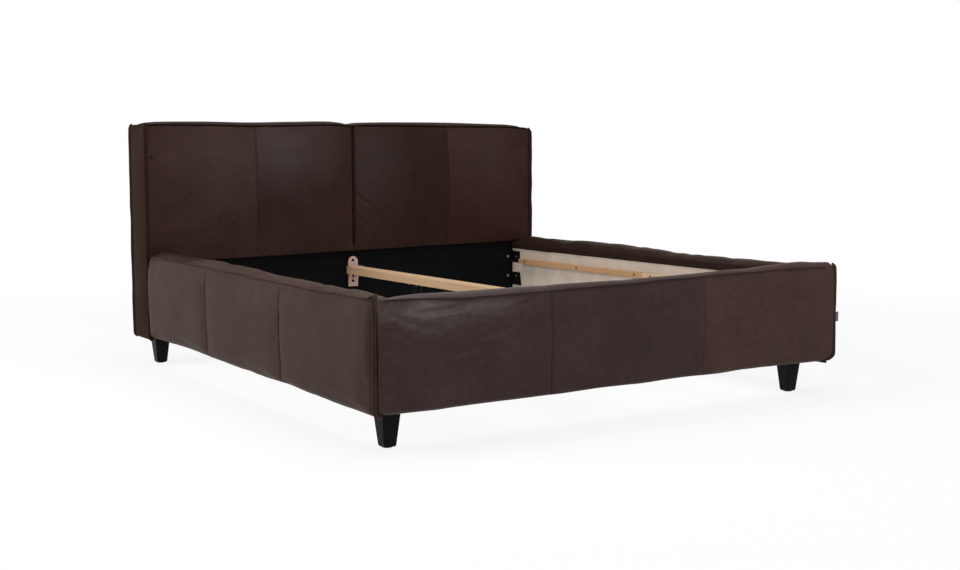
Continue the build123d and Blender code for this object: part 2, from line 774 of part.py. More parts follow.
def label_tag():
    """Blank woven tag sewn into the flange at the right front corner."""
    place = Pos(FLANGE_WIDTH + TAG_WIDTH / 2, 0, LEG_HEIGHT + TAG_RISE + TAG_HEIGHT / 2)
    tag = place * Box(TAG_WIDTH, TAG_THICKNESS, TAG_HEIGHT)
    return Pos(half_width, foot_front, 0) * Rot(0, 0, -45) * tag


# Every piece by name
parts = {}

rail_leather, rail_foam = rail_upholstery()
pad_leather, pad_foam = pad_upholstery()
boxing = side_boxing()
for name, side in SIDES:
    parts[f"rail_board_{name}"] = rail_layer(LINING, board_depth, side)
    parts[f"rail_lining_{name}"] = rail_layer(0, LINING, side)
    parts[f"rail_foam_{name}"] = rail_foam if side > 0 else mirrored(rail_foam)
    parts[f"rail_leather_{name}"] = rail_leather if side > 0 else mirrored(rail_leather)
    parts[f"ledger_{name}"] = ledger(side)
    parts[f"head_pad_foam_{name}"] = pad_foam if side > 0 else mirrored(pad_foam)
    parts[f"head_pad_leather_{name}"] = pad_leather if side > 0 else mirrored(pad_leather)
    parts[f"head_boxing_{name}"] = boxing if side > 0 else mirrored(boxing)
    parts[f"head_side_board_{name}"] = block(
        side * (head_half - HEAD_BOARD), side * head_half, box_front, box_rear, board_low, rib_top
    )

head_end, foot_end = ENDS
foot_half = half_width - FOOT_END_PAD
parts["foot_board"] = end_layer(
    foot_half, foot_inner - LINING, foot_inner - board_depth, board_low, board_top, foot_end
)
parts["foot_lining"] = end_layer(foot_half, foot_inner, foot_inner - LINING, board_low, board_top, foot_end)
parts["foot_leather"], parts["foot_foam"] = foot_upholstery()

cloth_half = return_inner - CLOTH_EDGE_GAP
parts["head_cloth"] = end_layer(cloth_half, head_face, panel_front, board_low, pad_low - SEAT_GAP, head_end)
parts["head_panel"] = end_layer(head_half, panel_front, box_front, board_low, head_board_top, head_end)
parts["head_top_board"] = block(-head_half, head_half, box_front, box_rear, rib_top, head_board_top)
block_inner = inner_half - LEG_BLOCK_WIDTH
block_outer = head_half - HEAD_BOARD
rib_low = board_low + HEAD_BOARD
rib_half = HEAD_BOARD / 2
parts["head_bottom_board"] = block(-block_inner, block_inner, box_front, box_rear, board_low, rib_low)
parts["head_centre_rib"] = block(-rib_half, rib_half, box_front, box_rear, rib_low, rib_top)
parts["head_back_panel"] = block(-head_half, head_half, box_rear, back_face, board_low, head_board_top)
parts["head_boxing_top"] = top_boxing()
parts["head_back_cover"] = back_cover()
parts["head_centre_welt"] = centre_welt()

head_block = leg_block(block_inner, block_outer, box_front, box_rear, leg_x, head_leg_y)
foot_block = leg_block(block_inner, inner_half, foot_inner, foot_inner + 2 * FOOT_LEG_IN, leg_x, foot_leg_y)
parts["head_leg_blocks"] = Compound(children=[head_block, mirrored(head_block)])
parts["foot_leg_blocks"] = Compound(children=[foot_block, mirrored(foot_block)])
for name, (x, y) in LEG_PLACES.items():
    parts[f"leg_{name}"] = leg(x, y)
parts["leg_studs"] = leg_rods(STUD_RADIUS, LEG_HEIGHT - STUD_IN_LEG, LEG_HEIGHT + STUD_IN_BLOCK)
parts["leg_glides"] = leg_rods(GLIDE_RADIUS, 0, GLIDE_HEIGHT)

for name, face, inwards in ENDS:
    parts[f"corner_brackets_{name}"] = brackets(face, inwards)
    parts[f"hanger_plate_{name}"] = hanger_plate(face, inwards)
    parts[f"beam_hook_{name}"] = beam_hook(face, inwards)
parts["bracket_bolts"] = Compound(
    children=[
        screw(*place, BOLT_HEAD_RADIUS, BOLT_HEAD, BOLT_RADIUS, bracket_bolt_length)
        for place in bracket_bolt_places(ENDS)
    ]
)
parts["bracket_screws"] = screws(bracket_screw_places(), bracket_screw_length)
parts["ledger_screws"] = screws(ledger_screw_places(), ledger_screw_length)
parts["hanger_screws"] = screws(hanger_screw_places(ENDS), hanger_screw_length)

parts["centre_beam"] = centre_beam()
parts["hook_screws"] = screws(hook_screw_places(), hook_screw_length)
parts["centre_leg_screws"] = screws(centre_screw_places(CENTRE_LEGS), centre_screw_length)
for name, y in CENTRE_LEGS:
    parts[f"centre_leg_plate_{name}"] = centre_plate((name, y))
    parts[f"centre_leg_tube_{name}"] = centre_tube(y)
    parts[f"height_adjuster_{name}"] = height_adjuster(y)
    parts[f"swivel_pad_{name}"] = swivel_pad(y)
parts["label_tag"] = label_tag()

os.makedirs("parts", exist_ok=True)
for name, piece in parts.items():
    piece.label = name
    export_step(piece, f"parts/{name}.step")
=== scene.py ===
import json
import math
import bmesh
import bpy
import numpy as np
from mathutils import Matrix, Vector

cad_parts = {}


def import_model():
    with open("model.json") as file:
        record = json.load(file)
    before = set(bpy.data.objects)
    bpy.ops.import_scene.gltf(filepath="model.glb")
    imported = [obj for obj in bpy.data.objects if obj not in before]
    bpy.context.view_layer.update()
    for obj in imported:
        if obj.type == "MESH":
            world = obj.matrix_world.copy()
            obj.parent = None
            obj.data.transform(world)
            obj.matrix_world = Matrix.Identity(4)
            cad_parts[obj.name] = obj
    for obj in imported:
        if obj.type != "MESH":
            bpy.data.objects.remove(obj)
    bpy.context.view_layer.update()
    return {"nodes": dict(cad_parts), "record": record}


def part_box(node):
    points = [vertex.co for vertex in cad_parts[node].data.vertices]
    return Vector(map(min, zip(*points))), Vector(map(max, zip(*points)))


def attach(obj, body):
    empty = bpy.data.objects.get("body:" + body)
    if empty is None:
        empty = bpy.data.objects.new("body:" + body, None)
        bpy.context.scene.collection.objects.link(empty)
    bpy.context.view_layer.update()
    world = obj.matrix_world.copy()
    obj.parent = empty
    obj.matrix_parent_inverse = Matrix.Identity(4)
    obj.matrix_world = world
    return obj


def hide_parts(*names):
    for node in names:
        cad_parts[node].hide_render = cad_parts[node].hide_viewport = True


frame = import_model()

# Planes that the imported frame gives, in metres
inner_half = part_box("rail_lining_right")[0].x
board_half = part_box("rail_board_right")[1].x
board_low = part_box("rail_board_right")[0].z
board_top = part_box("rail_board_right")[1].z
foot_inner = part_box("foot_lining")[1].y
rail_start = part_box("rail_leather_right")[0].y
rail_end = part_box("rail_leather_right")[1].y
head_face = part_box("head_cloth")[0].y
panel_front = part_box("head_panel")[0].y
head_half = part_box("head_panel")[1].x
head_board_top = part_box("head_panel")[1].z
back_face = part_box("head_back_panel")[1].y
leg_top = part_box("leg_foot_right")[1].z

# Rails and footboard, in metres
WALL = 0.080  # thickness between the seam outside and the lining inside
SEAM_HEIGHT = 0.484
SEAM_SINK = 0.004  # seams pulled into the padding
SKIRT_PROUD = 0.007
SKIRT_PLEAT = 0.0015
PLEAT_LENGTH = 0.024
SKIRT_EDGE = 0.447
FACE_BULGE = 0.010
WALL_CREASE = 0.007  # reach of the furrow along a seam between two panels
CREASE_DEPTH = 0.004
CROWN_NOTCH = 0.10  # share of the crown that a seam takes away
UNEVENNESS = 0.0009
LOWER_ROLL = 0.022
HEAD_END_ROLL = 0.018  # rounding of the rails' ends
CORNER_TUCK = 0.026  # how far the rails' leather is drawn in at the corner seams
CORNER_REACH = 0.058
FOOT_END_ROLL = 0.002
FOOT_FLARE = {"left": 0.022, "right": 0.028}  # the footboard's front spreads to its corner seams
CORNER_ROUND = {"left": 0.014, "right": 0.030}  # rounding of the footboard's lower corners
SKIN_GAP = 0.0005  # between the leather and the boards
FOOT_SEAMS = (-0.342, 0.330)
RAIL_SEAMS = (-0.4285, 0.2615)
END_PAD = 0.020  # thickness of the padding on the footboard's ends

# Headboard, in metres
TOP_PADDING = 0.018  # from the boards to the height of the corners
PAD_EDGE = 0.022  # thickness of the front pads at their seams
PAD_BULGE = 0.023
PAD_ROLL = 0.010
PAD_CHANNEL = 0.010
PAD_CREASE = 0.008
LEFT_PAD_SEAM = -0.490
RIGHT_PAD_SEAM = 0.510
CHANNEL_CLOSED = 0.030  # height over which the two pads meet below the channel
SIDE_SAG = 0.008  # top edge of the side boxing between its two ears
SIDE_BULGE = 0.009
HEAD_HEM = 0.006  # how far the boxing hangs below the boards
BACK_EDGE = 0.011
BACK_BULGE = 0.009
BACK_ROLL = 0.008
SIDE_SKIN = 0.0015
SKIN_ROLL = 0.001
FILLER_ROLL = 0.003  # rounded edges of the wadding on the boards

# Flanges and lips along the seams, in metres
FOOT_FLANGE = {"left": 0.020, "right": 0.011}
HEAD_FLANGE = {"left": 0.013, "right": 0.018}
HEAD_SPREAD = {"left": 0.0, "right": 0.011}  # how far a front pad spreads to its flange
TOP_LIP = 0.007
FLANGE_LEAF = 0.0040  # thickness of one of a flange's two layers
FOOT_EAR = {"left": 0.499, "right": 0.505}  # top of the foot flanges
FLANGE_GROOVE = 0.0055  # open groove between the two layers
FLANGE_LEAN = {"left": (0.72, 0.69), "right": (0.85, 0.53)}  # directions sideways and endways
EAR_ROUND = 0.012  # upper bend of the foot flanges
FOOT_BACKWARDS = 0.6  # how much of its lower bend goes under the rail
HEAD_BEND = (0.012, 0.012, 0.0)  # height, width and backward share of the lower bend
HEAD_EAR_ROUND = 0.008
FLANGE_STEP = 0.006
STRIP_ROOT = 0.006  # how deep a strip goes into its seam
LIP_STEP = 0.008
LIP_LEAF = 0.0012
WELT_LEAF = 0.0017
WELT_WIDTH = 0.013
TAG_REACH = 0.017
TAG_LEAF = 0.0007
TAG_FOLD = -0.0004  # its outer edge is folded, so it has no groove
TAG_STEP = 0.004
TAG_RISE = (0.020, 0.012)  # the tag's two ends above those of its solid, as the photo shows them
STITCH = 0.0065
THREAD = 0.0007

# Cloth on the inside, in metres
CLOTH_THICK = 0.0012
CLOTH_ROLL = 0.0004
LINING_SINK = 0.0015  # the lining's back behind the inner faces

# Grids and simulation
STEP = 0.011
SEAM_STEPS = (0.0025, 0.006)
ON_SEAM = 0.001
SIM_FRAMES = 18
SIM_PRESSURE = 1.5
SIM_SLACK = 0.004
SIM_CAP = 0.005
CALM_PASSES = 8
SIM_SETTINGS = {
    "quality": 4,
    "mass": 0.4,
    "tension_stiffness": 60,
    "compression_stiffness": 40,
    "shear_stiffness": 20,
    "bending_stiffness": 1.5,
    "use_pressure": True,
    "uniform_pressure_force": SIM_PRESSURE,
    "shrink_min": -SIM_SLACK,
}

half_width = inner_half + WALL
foot_front = foot_inner - WALL
flange_y = foot_front + 0.003
foot_end = half_width - END_PAD
head_height = head_board_top + TOP_PADDING
pad_front = panel_front - PAD_EDGE
back_seam = back_face + BACK_EDGE


# Repeatable shapes


def ease(t):
    """Smooth step from 0 to 1."""
    t = np.clip(t, 0, 1)
    return t * t * (3 - 2 * t)


def noise(seed, x, y=0.0):
    """Smooth noise between -1 and 1 that is the same on every run, with one bump for each unit."""
    size = 64
    lattice = np.random.default_rng(seed).uniform(-1, 1, (size, size))
    x, y = np.broadcast_arrays(np.asarray(x, float), np.asarray(y, float))
    column, row = np.floor(x).astype(int), np.floor(y).astype(int)
    across, along = ease(x - column), ease(y - row)

    def corner(i, j):
        return lattice[(column + i) % size, (row + j) % size]

    near = corner(0, 0) * (1 - across) + corner(1, 0) * across
    far = corner(0, 1) * (1 - across) + corner(1, 1) * across
    return near * (1 - along) + far * along


def between(places, values):
    """A smooth height that passes through the values at those places."""
    places, values = np.asarray(places, float), np.asarray(values, float)
    secants = np.diff(values) / np.diff(places)
    product = secants[:-1] * secants[1:]
    total = np.where(product > 0, secants[:-1] + secants[1:], 1)
    slopes = np.concatenate([[0], np.where(product > 0, 2 * product / total, 0), [0]])

    def height(s):
        step = np.clip(np.searchsorted(places, s) - 1, 0, len(places) - 2)
        width = places[step + 1] - places[step]
        t = np.clip((s - places[step]) / width, 0, 1)
        first = values[step] * (1 + 2 * t) + slopes[step] * width * t
        last = values[step + 1] * (3 - 2 * t) - slopes[step + 1] * width * (1 - t)
        return first * (1 - t) ** 2 + last * t**2

    return height


def stations(start, end, seams=()):
    """Places along a piece in even steps, with close ones on both sides of each seam."""
    held = [start, end]
    for seam in seams:
        held += [seam, *(seam + side * offset for side in (-1, 1) for offset in SEAM_STEPS)]
    even = np.linspace(start, end, round((end - start) / STEP) + 1)
    free = [place for place in even if min(abs(place - mark) for mark in held) > STEP / 2]
    return np.array(sorted(held + free))


def rounding(distance, radius):
    """How far a rounded corner of that radius falls away, at a distance from its end."""
    if radius == 0:
        return 0 * distance
    inside = np.clip(1 - distance / radius, 0, 1)
    return radius * (1 - np.sqrt(1 - inside**2))


def near_seam(s, seams, reach):
    """1 on a seam, falling to 0 at the reach from it."""
    if not seams:
        return np.zeros_like(s)
    distance = np.min([np.abs(s - seam) for seam in seams], axis=0)
    return 1 - ease(distance / reach)


def swell(s, marks, power=4.0):
    """Fullness of the padding: 0 on each mark and 1 in the middle between two marks."""
    marks = np.asarray(marks, float)
    panel = np.clip(np.searchsorted(marks, s) - 1, 0, len(marks) - 2)
    t = (s - marks[panel]) / (marks[panel + 1] - marks[panel])
    return 1 - np.abs(2 * np.clip(t, 0, 1) - 1) ** power


def panel_numbers(s, seams):
    """Which panel lies after each place but the last."""
    middle = (s[:-1] + s[1:]) / 2
    return np.searchsorted(np.asarray(seams, float), middle)


# Leather skins


class Skin:
    """Leather as a grid of points, closed behind by a path along its rows or by one flat face."""

    def __init__(self, grid, sewn, back, panels):
        self.grid = np.asarray(grid, float)
        self.sewn = sewn
        self.back = back
        self.panels = panels

    def points(self):
        """Every point of the closed form."""
        flat = self.grid.reshape(-1, 3)
        return flat if self.back is None else np.vstack([flat, self.back.reshape(-1, 3)])

    def faces(self):
        """The quads of the grid, and the faces that close it."""
        rows, columns = self.grid.shape[:2]
        number = np.arange(rows * columns).reshape(rows, columns)
        corners = (number[:-1, :-1], number[:-1, 1:], number[1:, 1:], number[1:, :-1])
        quads = np.stack(corners, -1).reshape(-1, 4).tolist()
        if self.back is None:
            rim = [*number[0], *number[1:, -1], *number[-1, -2::-1], *number[-2:0:-1, 0]]
            return quads, [[int(i) for i in rim]]
        first = rows * columns + np.arange(self.back.shape[1])
        last = first + len(first)
        closing = [[*number[0], *first], [*number[-1], *last]]
        closing.append([*number[:, -1], last[0], first[0]])
        closing.append([*number[:, 0], last[-1], first[-1]])
        for i in range(len(first) - 1):
            closing.append([first[i], first[i + 1], last[i + 1], last[i]])
        return quads, [[int(i) for i in face] for face in closing]

    def normals(self):
        """Unit normals of the grid, away from the padding."""
        along = np.gradient(self.grid, axis=0)
        across = np.gradient(self.grid, axis=1)
        normal = np.cross(along, across)
        length = np.linalg.norm(normal, axis=2, keepdims=True)
        return normal / np.maximum(length, 1e-12)

    def refined(self):
        """The same leather with a point more between each two."""
        grid = doubled(doubled(self.grid, 0), 1)
        sewn = np.repeat(np.repeat(self.sewn, 2, 0), 2, 1)[:-1, :-1]
        return Skin(grid, sewn, self.back, np.repeat(self.panels, 2))


def doubled(grid, axis):
    """A grid with a smooth point put between each two along an axis."""
    grid = np.moveaxis(grid, axis, 0)
    padded = np.concatenate([2 * grid[:1] - grid[1:2], grid, 2 * grid[-1:] - grid[-2:-1]])
    middle = (9 * (padded[1:-2] + padded[2:-1]) - padded[:-3] - padded[3:]) / 16
    finer = np.empty((2 * len(grid) - 1, *grid.shape[1:]))
    finer[::2] = grid
    finer[1::2] = middle
    return np.moveaxis(finer, 0, axis)


def mesh_object(name, points, faces, materials, tones, smooth):
    """An object from points and faces, with its normals turned outwards."""
    mesh = bpy.data.meshes.new(name)
    mesh.from_pydata(np.asarray(points).tolist(), [], faces)
    for material in materials:
        mesh.materials.append(material)
    mesh.polygons.foreach_set("material_index", np.asarray(tones, np.int32))
    mesh.polygons.foreach_set("use_smooth", np.asarray(smooth, bool))
    whole = bmesh.new()
    whole.from_mesh(mesh)
    bmesh.ops.recalc_face_normals(whole, faces=whole.faces)
    whole.to_mesh(mesh)
    whole.free()
    mesh.update()
    made = bpy.data.objects.new(name, mesh)
    bpy.context.scene.collection.objects.link(made)
    return made


def leather_object(name, skins, materials):
    """One object of several closed skins."""
    points, faces, tones, smooth, count = [], [], [], [], 0
    for skin in skins:
        quads, closing = skin.faces()
        shape = skin.points()
        points.append(shape)
        faces += [[i + count for i in face] for face in quads + closing]
        tones += np.repeat(skin.panels, skin.grid.shape[1] - 1).tolist() + [0] * len(closing)
        smooth += [True] * len(quads) + [False] * len(closing)
        count += len(shape)
    return mesh_object(name, np.vstack(points), faces, materials, tones, smooth)


def trial_cloth(name, skin):
    """A skin as cloth under pressure, held where it is sewn."""
    cloth_piece = leather_object(name, [skin], [])
    held = np.ones(len(skin.points()), bool)
    held[: skin.sewn.size] = skin.sewn.ravel()
    group = cloth_piece.vertex_groups.new(name="sewn")
    group.add([int(i) for i in np.flatnonzero(held)], 1.0, "REPLACE")
    cloth = cloth_piece.modifiers.new("cloth", "CLOTH")
    for setting, value in SIM_SETTINGS.items():
        setattr(cloth.settings, setting, value)
    cloth.settings.effector_weights.gravity = 0
    cloth.settings.vertex_group_mass = group.name
    cloth.collision_settings.use_collision = False
    cloth.point_cache.frame_start = 1
    cloth.point_cache.frame_end = SIM_FRAMES
    return cloth_piece


def blow_up(skins):
    """Swells the skins between their seams with cloth simulation, all in one run, and keeps the result."""
    scene = bpy.context.scene
    trial = [trial_cloth(f"trial_{number}", skin) for number, skin in enumerate(skins)]
    for step in range(1, SIM_FRAMES + 1):
        scene.frame_set(step)
    depsgraph = bpy.context.evaluated_depsgraph_get()
    for skin, cloth_piece in zip(skins, trial):
        swollen = cloth_piece.evaluated_get(depsgraph).data
        place = np.empty(len(swollen.vertices) * 3)
        swollen.vertices.foreach_get("co", place)
        move = place.reshape(-1, 3)[: skin.sewn.size].reshape(skin.grid.shape) - skin.grid
        length = np.linalg.norm(move, axis=2, keepdims=True)
        capped = move * np.minimum(1, SIM_CAP / np.maximum(length, 1e-9))
        skin.grid += calmed(capped, skin.sewn)
    for cloth_piece in trial:
        mesh = cloth_piece.data
        bpy.data.objects.remove(cloth_piece)
        bpy.data.meshes.remove(mesh)
    scene.frame_set(1)


def calmed(move, sewn):
    """A field of movement with its short ripples smoothed away along the rows, still at its seams."""
    free = ~sewn[..., None]
    for _ in range(CALM_PASSES):
        move = free * (np.roll(move, 1, 0) + 2 * move + np.roll(move, -1, 0)) / 4
    return move


def creased(skin, outward, along, folds, seed):
    """Presses soft folds and a slow unevenness into the outer face of a skin.

    Each fold goes from one place along and up to another, with its width and its depth.
    """
    outward = np.asarray(outward, float)
    place = skin.grid[..., [along, 2]]
    depth = skin.grid @ outward
    facing = (skin.normals() @ outward) ** 2 * ease((depth - depth.max() + 0.055) / 0.02)
    broad = noise(seed, place[..., 0] / 0.21, place[..., 1] / 0.17)
    small = noise(seed + 1, place[..., 0] / 0.09, place[..., 1] / 0.075)
    dent = UNEVENNESS * (broad + 0.6 * small)
    for start, end, width, deep in folds:
        run = np.subtract(end, start)
        t = np.clip((place - start) @ run / (run @ run), 0, 1)
        distance = np.linalg.norm(place - start - t[..., None] * run, axis=-1)
        valley = np.exp(-((distance / width) ** 2))
        ridge = np.exp(-((distance / width - 2) ** 2))
        dent += deep * np.sqrt(np.sin(math.pi * np.clip(t, 0.02, 0.98))) * (valley - 0.4 * ridge)
    skin.grid = skin.grid - outward * (dent * facing)[..., None]
    return skin


# Walls: the rails and the footboard have one section, swept along them


def wall_section(s, marks, heights, tuck):
    """Distances outwards and heights of a wall's leather at places along it.

    The leather goes from the skirt inside over the crown, down the outside and under the board.
    """
    seam, crown, low, skirt = (height(s)[:, None] for height in heights)
    full = swell(s, marks, 6)[:, None]
    crease = near_seam(s, marks[1:-1], WALL_CREASE)[:, None]
    tuck = tuck[:, None]

    inner_top = board_top - 0.002
    t = np.linspace(0, 1, 6)[None]
    pleats = SKIRT_PLEAT * noise(len(s), s / PLEAT_LENGTH)[:, None]
    out = [-SKIRT_PROUD + pleats * (1 - t) + 0.5 * tuck]
    up = [skirt + (inner_top - skirt) * t]

    t = np.linspace(0, 1, 17)[None, 1:]
    arch = 1 - np.abs(2 * t - 1) ** 2.4
    out.append(-SKIRT_PROUD + 0.5 * tuck + (WALL - SEAM_SINK + SKIRT_PROUD - 1.5 * tuck) * t)
    up.append(inner_top + (seam - inner_top) * t + (crown * (1 - CROWN_NOTCH * crease) - tuck) * arch)

    t = np.linspace(0, 1, 33)[None, 1:]
    rise = 1 - (1 - np.minimum(t / 0.22, 1)) ** 2
    fall = 1 - 0.5 * ease((t - 0.55) / 0.45)
    face = WALL - SEAM_SINK * (1 - rise) + FACE_BULGE * (0.65 + 0.35 * full) * rise * fall
    face = face - CREASE_DEPTH * crease * rise - tuck
    out.append(face)
    up.append(seam + (low + LOWER_ROLL - seam) * t)

    turn = np.linspace(0, math.pi / 2, 7)[None, 1:]
    corner = face[:, -1:]
    out.append(corner - LOWER_ROLL * (1 - np.cos(turn)))
    up.append(low + LOWER_ROLL * (1 - np.sin(turn)))

    t = np.linspace(0, 1, 6)[None, 1:]
    under = corner - LOWER_ROLL
    out.append(under * (1 - t) + 0.001 * t)
    up.append(low + (leg_top + SKIN_GAP - low) * ease(t * 1.6))

    out = np.concatenate([np.broadcast_to(part, (len(s), part.shape[1])) for part in out], 1)
    up = np.concatenate([np.broadcast_to(part, (len(s), part.shape[1])) for part in up], 1)
    return out, up


SKIRT_COLUMNS = 5
SEAM_COLUMN = 21
UNDER_COLUMNS = 6


def wall_back(start, end, world):
    """Path round the board at both ends of a wall."""
    depth = board_half - inner_half + SKIN_GAP
    over = board_top + SKIN_GAP
    under = board_low - SKIN_GAP
    path = [(0.001, under), (depth, under), (depth, over), (-SKIN_GAP, over), (-SKIN_GAP, SKIRT_EDGE)]
    out, up = np.array(path).T
    return np.stack([world(0 * out + place, out, up) for place in (start, end)])


def wall_skin(s, marks, heights, world, tuck):
    """Leather of a rail or of the footboard, closed behind round its board."""
    out, up = wall_section(s, marks, heights, tuck)
    grid = world(s[:, None] + 0 * out, out, up)
    sewn = np.zeros(out.shape, bool)
    sewn[[0, -1]] = True
    sewn[:, :SKIRT_COLUMNS] = True
    sewn[:, SEAM_COLUMN] = True
    sewn[:, -UNDER_COLUMNS:] = True
    for mark in marks:
        sewn[np.abs(s - mark) < ON_SEAM] = True
    return Skin(grid, sewn, wall_back(s[0], s[-1], world), panel_numbers(s, marks[1:-1]))


def foot_world(s, out, up):
    """Footboard: along X, outwards to -Y, with its front spread to the corner seams."""
    flare = np.where(s < 0, -FOOT_FLARE["left"], FOOT_FLARE["right"])
    over = 0.055 * ease((up - SEAM_HEIGHT + 0.012) / 0.008)
    front = ease((out - WALL + 0.010 + over) / (0.009 + 0.6 * over))
    spread = flare * ease((np.abs(s) - foot_end + 0.040) / 0.040) * front
    return np.stack([s + spread, foot_inner - out, up], -1)


def rail_world(side):
    """A rail: along Y, outwards to its own side."""

    def world(s, out, up):
        return np.stack([side * (inner_half + out), s, up], -1)

    return world


# Pads: flat backs, rolled edges and a crowned face


def edge_profile(start, end, seams, depth, roll):
    """Places across a pad, from its back at one edge to its back at the other, and the rise at each."""
    turn = np.linspace(0, math.pi / 2, 4)
    wall = [(0, 0), (0, max(depth - roll, 0) / 2 / depth)]
    arc = [(roll * (1 - math.cos(a)), 1 - roll / depth * (1 - math.sin(a))) for a in turn]
    first = np.array(wall + arc)
    flat = stations(start + roll, end - roll, seams)[1:-1]
    place = np.concatenate([start + first[:, 0], flat, end - first[::-1, 0]])
    rise = np.concatenate([first[:, 1], np.ones(len(flat)), first[::-1, 1]])
    return place, rise


def pad_skin(across, up, depth, roll, bulge, world, seams=(), edges=None, power=(4, 3), marks=None):
    """A pad between two places across and two places up, with seams at places across.

    It is full between the marks across, which are its two edges if none are given.
    """
    place_a, rise_a = edge_profile(*across, seams, depth, roll)
    place_u, rise_u = edge_profile(*up, (), depth, roll)
    a, u = np.meshgrid(place_a, place_u, indexing="ij")
    crown = swell(a, marks or across, power[0]) * swell(u, up, power[1])
    crease = near_seam(a, seams, PAD_CREASE) * np.minimum(1, 8 * swell(u, up, 2))
    fullness = bulge(a) if callable(bulge) else bulge
    out = depth * np.minimum.outer(rise_a, rise_u) + fullness * crown - CREASE_DEPTH * crease
    if edges:
        low, high = (edge(a) for edge in edges)
        share = (u - up[0]) / (up[1] - up[0])
        u = u + low * (1 - share) + high * share
    grid = world(a, u, out)
    sewn = np.zeros(a.shape, bool)
    wall = 5
    sewn[:wall] = sewn[-wall:] = True
    sewn[:, :wall] = sewn[:, -wall:] = True
    for mark in seams:
        sewn[np.abs(place_a - mark) < ON_SEAM] = True
    return Skin(grid, sewn, None, panel_numbers(place_a, seams))


def head_world(a, u, out):
    """Front of the headboard: outwards to -Y."""
    return np.stack([a, panel_front - SKIN_GAP - out, u], -1)


def back_world(a, u, out):
    """Back of the headboard: outwards to +Y."""
    return np.stack([-a, back_face + SKIN_GAP + out, u], -1)


def top_world(plane):
    """A face turned upwards: across along X, and up along Y."""

    def world(a, u, out):
        return np.stack([a, u, plane + out], -1)

    return world


def side_world(side, plane, facing=1):
    """A face turned away from the middle of the bed, or with facing -1 towards it: across along Y."""

    def world(a, u, out):
        return np.stack([side * (plane + facing * out), a, u], -1)

    return world


# Flanges, lips and welts


def unit(vectors):
    """Vectors of length 1."""
    return vectors / np.linalg.norm(vectors, axis=-1, keepdims=True)


def strip_points(root, outward, width, seed, sewn):
    """Directions along a strip, out of its seam and through its leaves, with its waved reach."""
    along = unit(np.gradient(root, axis=0))
    run = np.concatenate([[0], np.cumsum(np.linalg.norm(np.diff(root, axis=0), axis=1))])
    tilt = 0.10 * noise(seed, run / 0.09) + 0.05 * noise(seed + 1, run / 0.03)
    stand = unit(outward + np.cross(along, outward) * tilt[:, None])
    through = np.cross(along, stand)
    to_end = np.minimum(run, run[-1] - run)
    narrowed = 0.55 * (1 - ease(to_end / 0.02)) if sewn else 0
    reach = width * (1 + 0.10 * noise(seed + 2, run / 0.07)) * (1 - narrowed)
    return along, stand, through, reach, run


def strip_section(leaf, groove):
    """Section of two sewn leaves: shares of the reach, distances beyond it and offsets through it."""
    side = [(0, 0.8), (0.45, 0.85), (0.80, 1.05), (0.94, 1.15), (1, 0.85), (0.97, 0.45)]
    depth = [-STRIP_ROOT] + [0] * (len(side) - 1)
    one = [(share, more, -leaf * offset) for (share, offset), more in zip(side, depth)]
    other = [(share, more, -offset) for share, more, offset in reversed(one)]
    return one + [(1, -groove, 0)] + other


def strip_object(name, root, outward, width, leaf, material, seed, groove=0.0012, sewn=True):
    """Two leather leaves sewn face to face that stand out from a seam."""
    root, outward = np.asarray(root, float), unit(np.asarray(outward, float))
    along, stand, through, reach, run = strip_points(root, outward, width, seed, sewn)
    columns = []
    for share, more, offset in strip_section(leaf, groove):
        columns.append(root + stand * (share * reach + more)[:, None] + through * offset)
    grid = np.stack(columns, 1)
    count, size = grid.shape[:2]
    number = np.arange(count * size).reshape(count, size)
    ahead = np.roll(number, -1, 1)
    faces = np.stack([number[:-1], ahead[:-1], ahead[1:], number[1:]], -1).reshape(-1, 4).tolist()
    smooth = [True] * len(faces) + [False, False]
    faces += [number[0].tolist(), number[-1].tolist()]
    strip = mesh_object(name, grid.reshape(-1, 3), faces, [material], [0] * len(faces), smooth)
    if sewn:
        line = root + stand * (0.5 * reach)[:, None]
        add_stitches(strip, line, along, through, run, leaf)
    return strip


def add_stitches(strip, line, along, through, run, leaf):
    """A row of short threads on both leaves of a strip, joined into its mesh."""
    places = np.arange(STITCH, run[-1] - STITCH / 2, STITCH)

    def at(values):
        return np.stack([np.interp(places, run, values[:, axis]) for axis in range(3)], 1)

    middle, ahead, aside = at(line), unit(at(along)), unit(at(through))
    across = np.cross(ahead, aside)
    mesh = bmesh.new()
    mesh.from_mesh(strip.data)
    for side in (-1, 1):
        centre = middle + aside * side * leaf
        for i in range(len(places)):
            long, high, wide = ahead[i] * 0.40 * STITCH, aside[i] * 0.6 * THREAD, across[i] * 0.5 * THREAD
            ring = [centre[i] + high, centre[i] + wide, centre[i] - high, centre[i] - wide]
            tips = [mesh.verts.new(centre[i] - long), mesh.verts.new(centre[i] + long)]
            ring = [mesh.verts.new(corner) for corner in ring]
            for j in range(4):
                for tip in tips:
                    mesh.faces.new((tip, ring[j], ring[(j + 1) % 4])).material_index = 1
    bmesh.ops.recalc_face_normals(mesh, faces=mesh.faces)
    mesh.to_mesh(strip.data)
    mesh.free()
    strip.data.materials.append(thread)


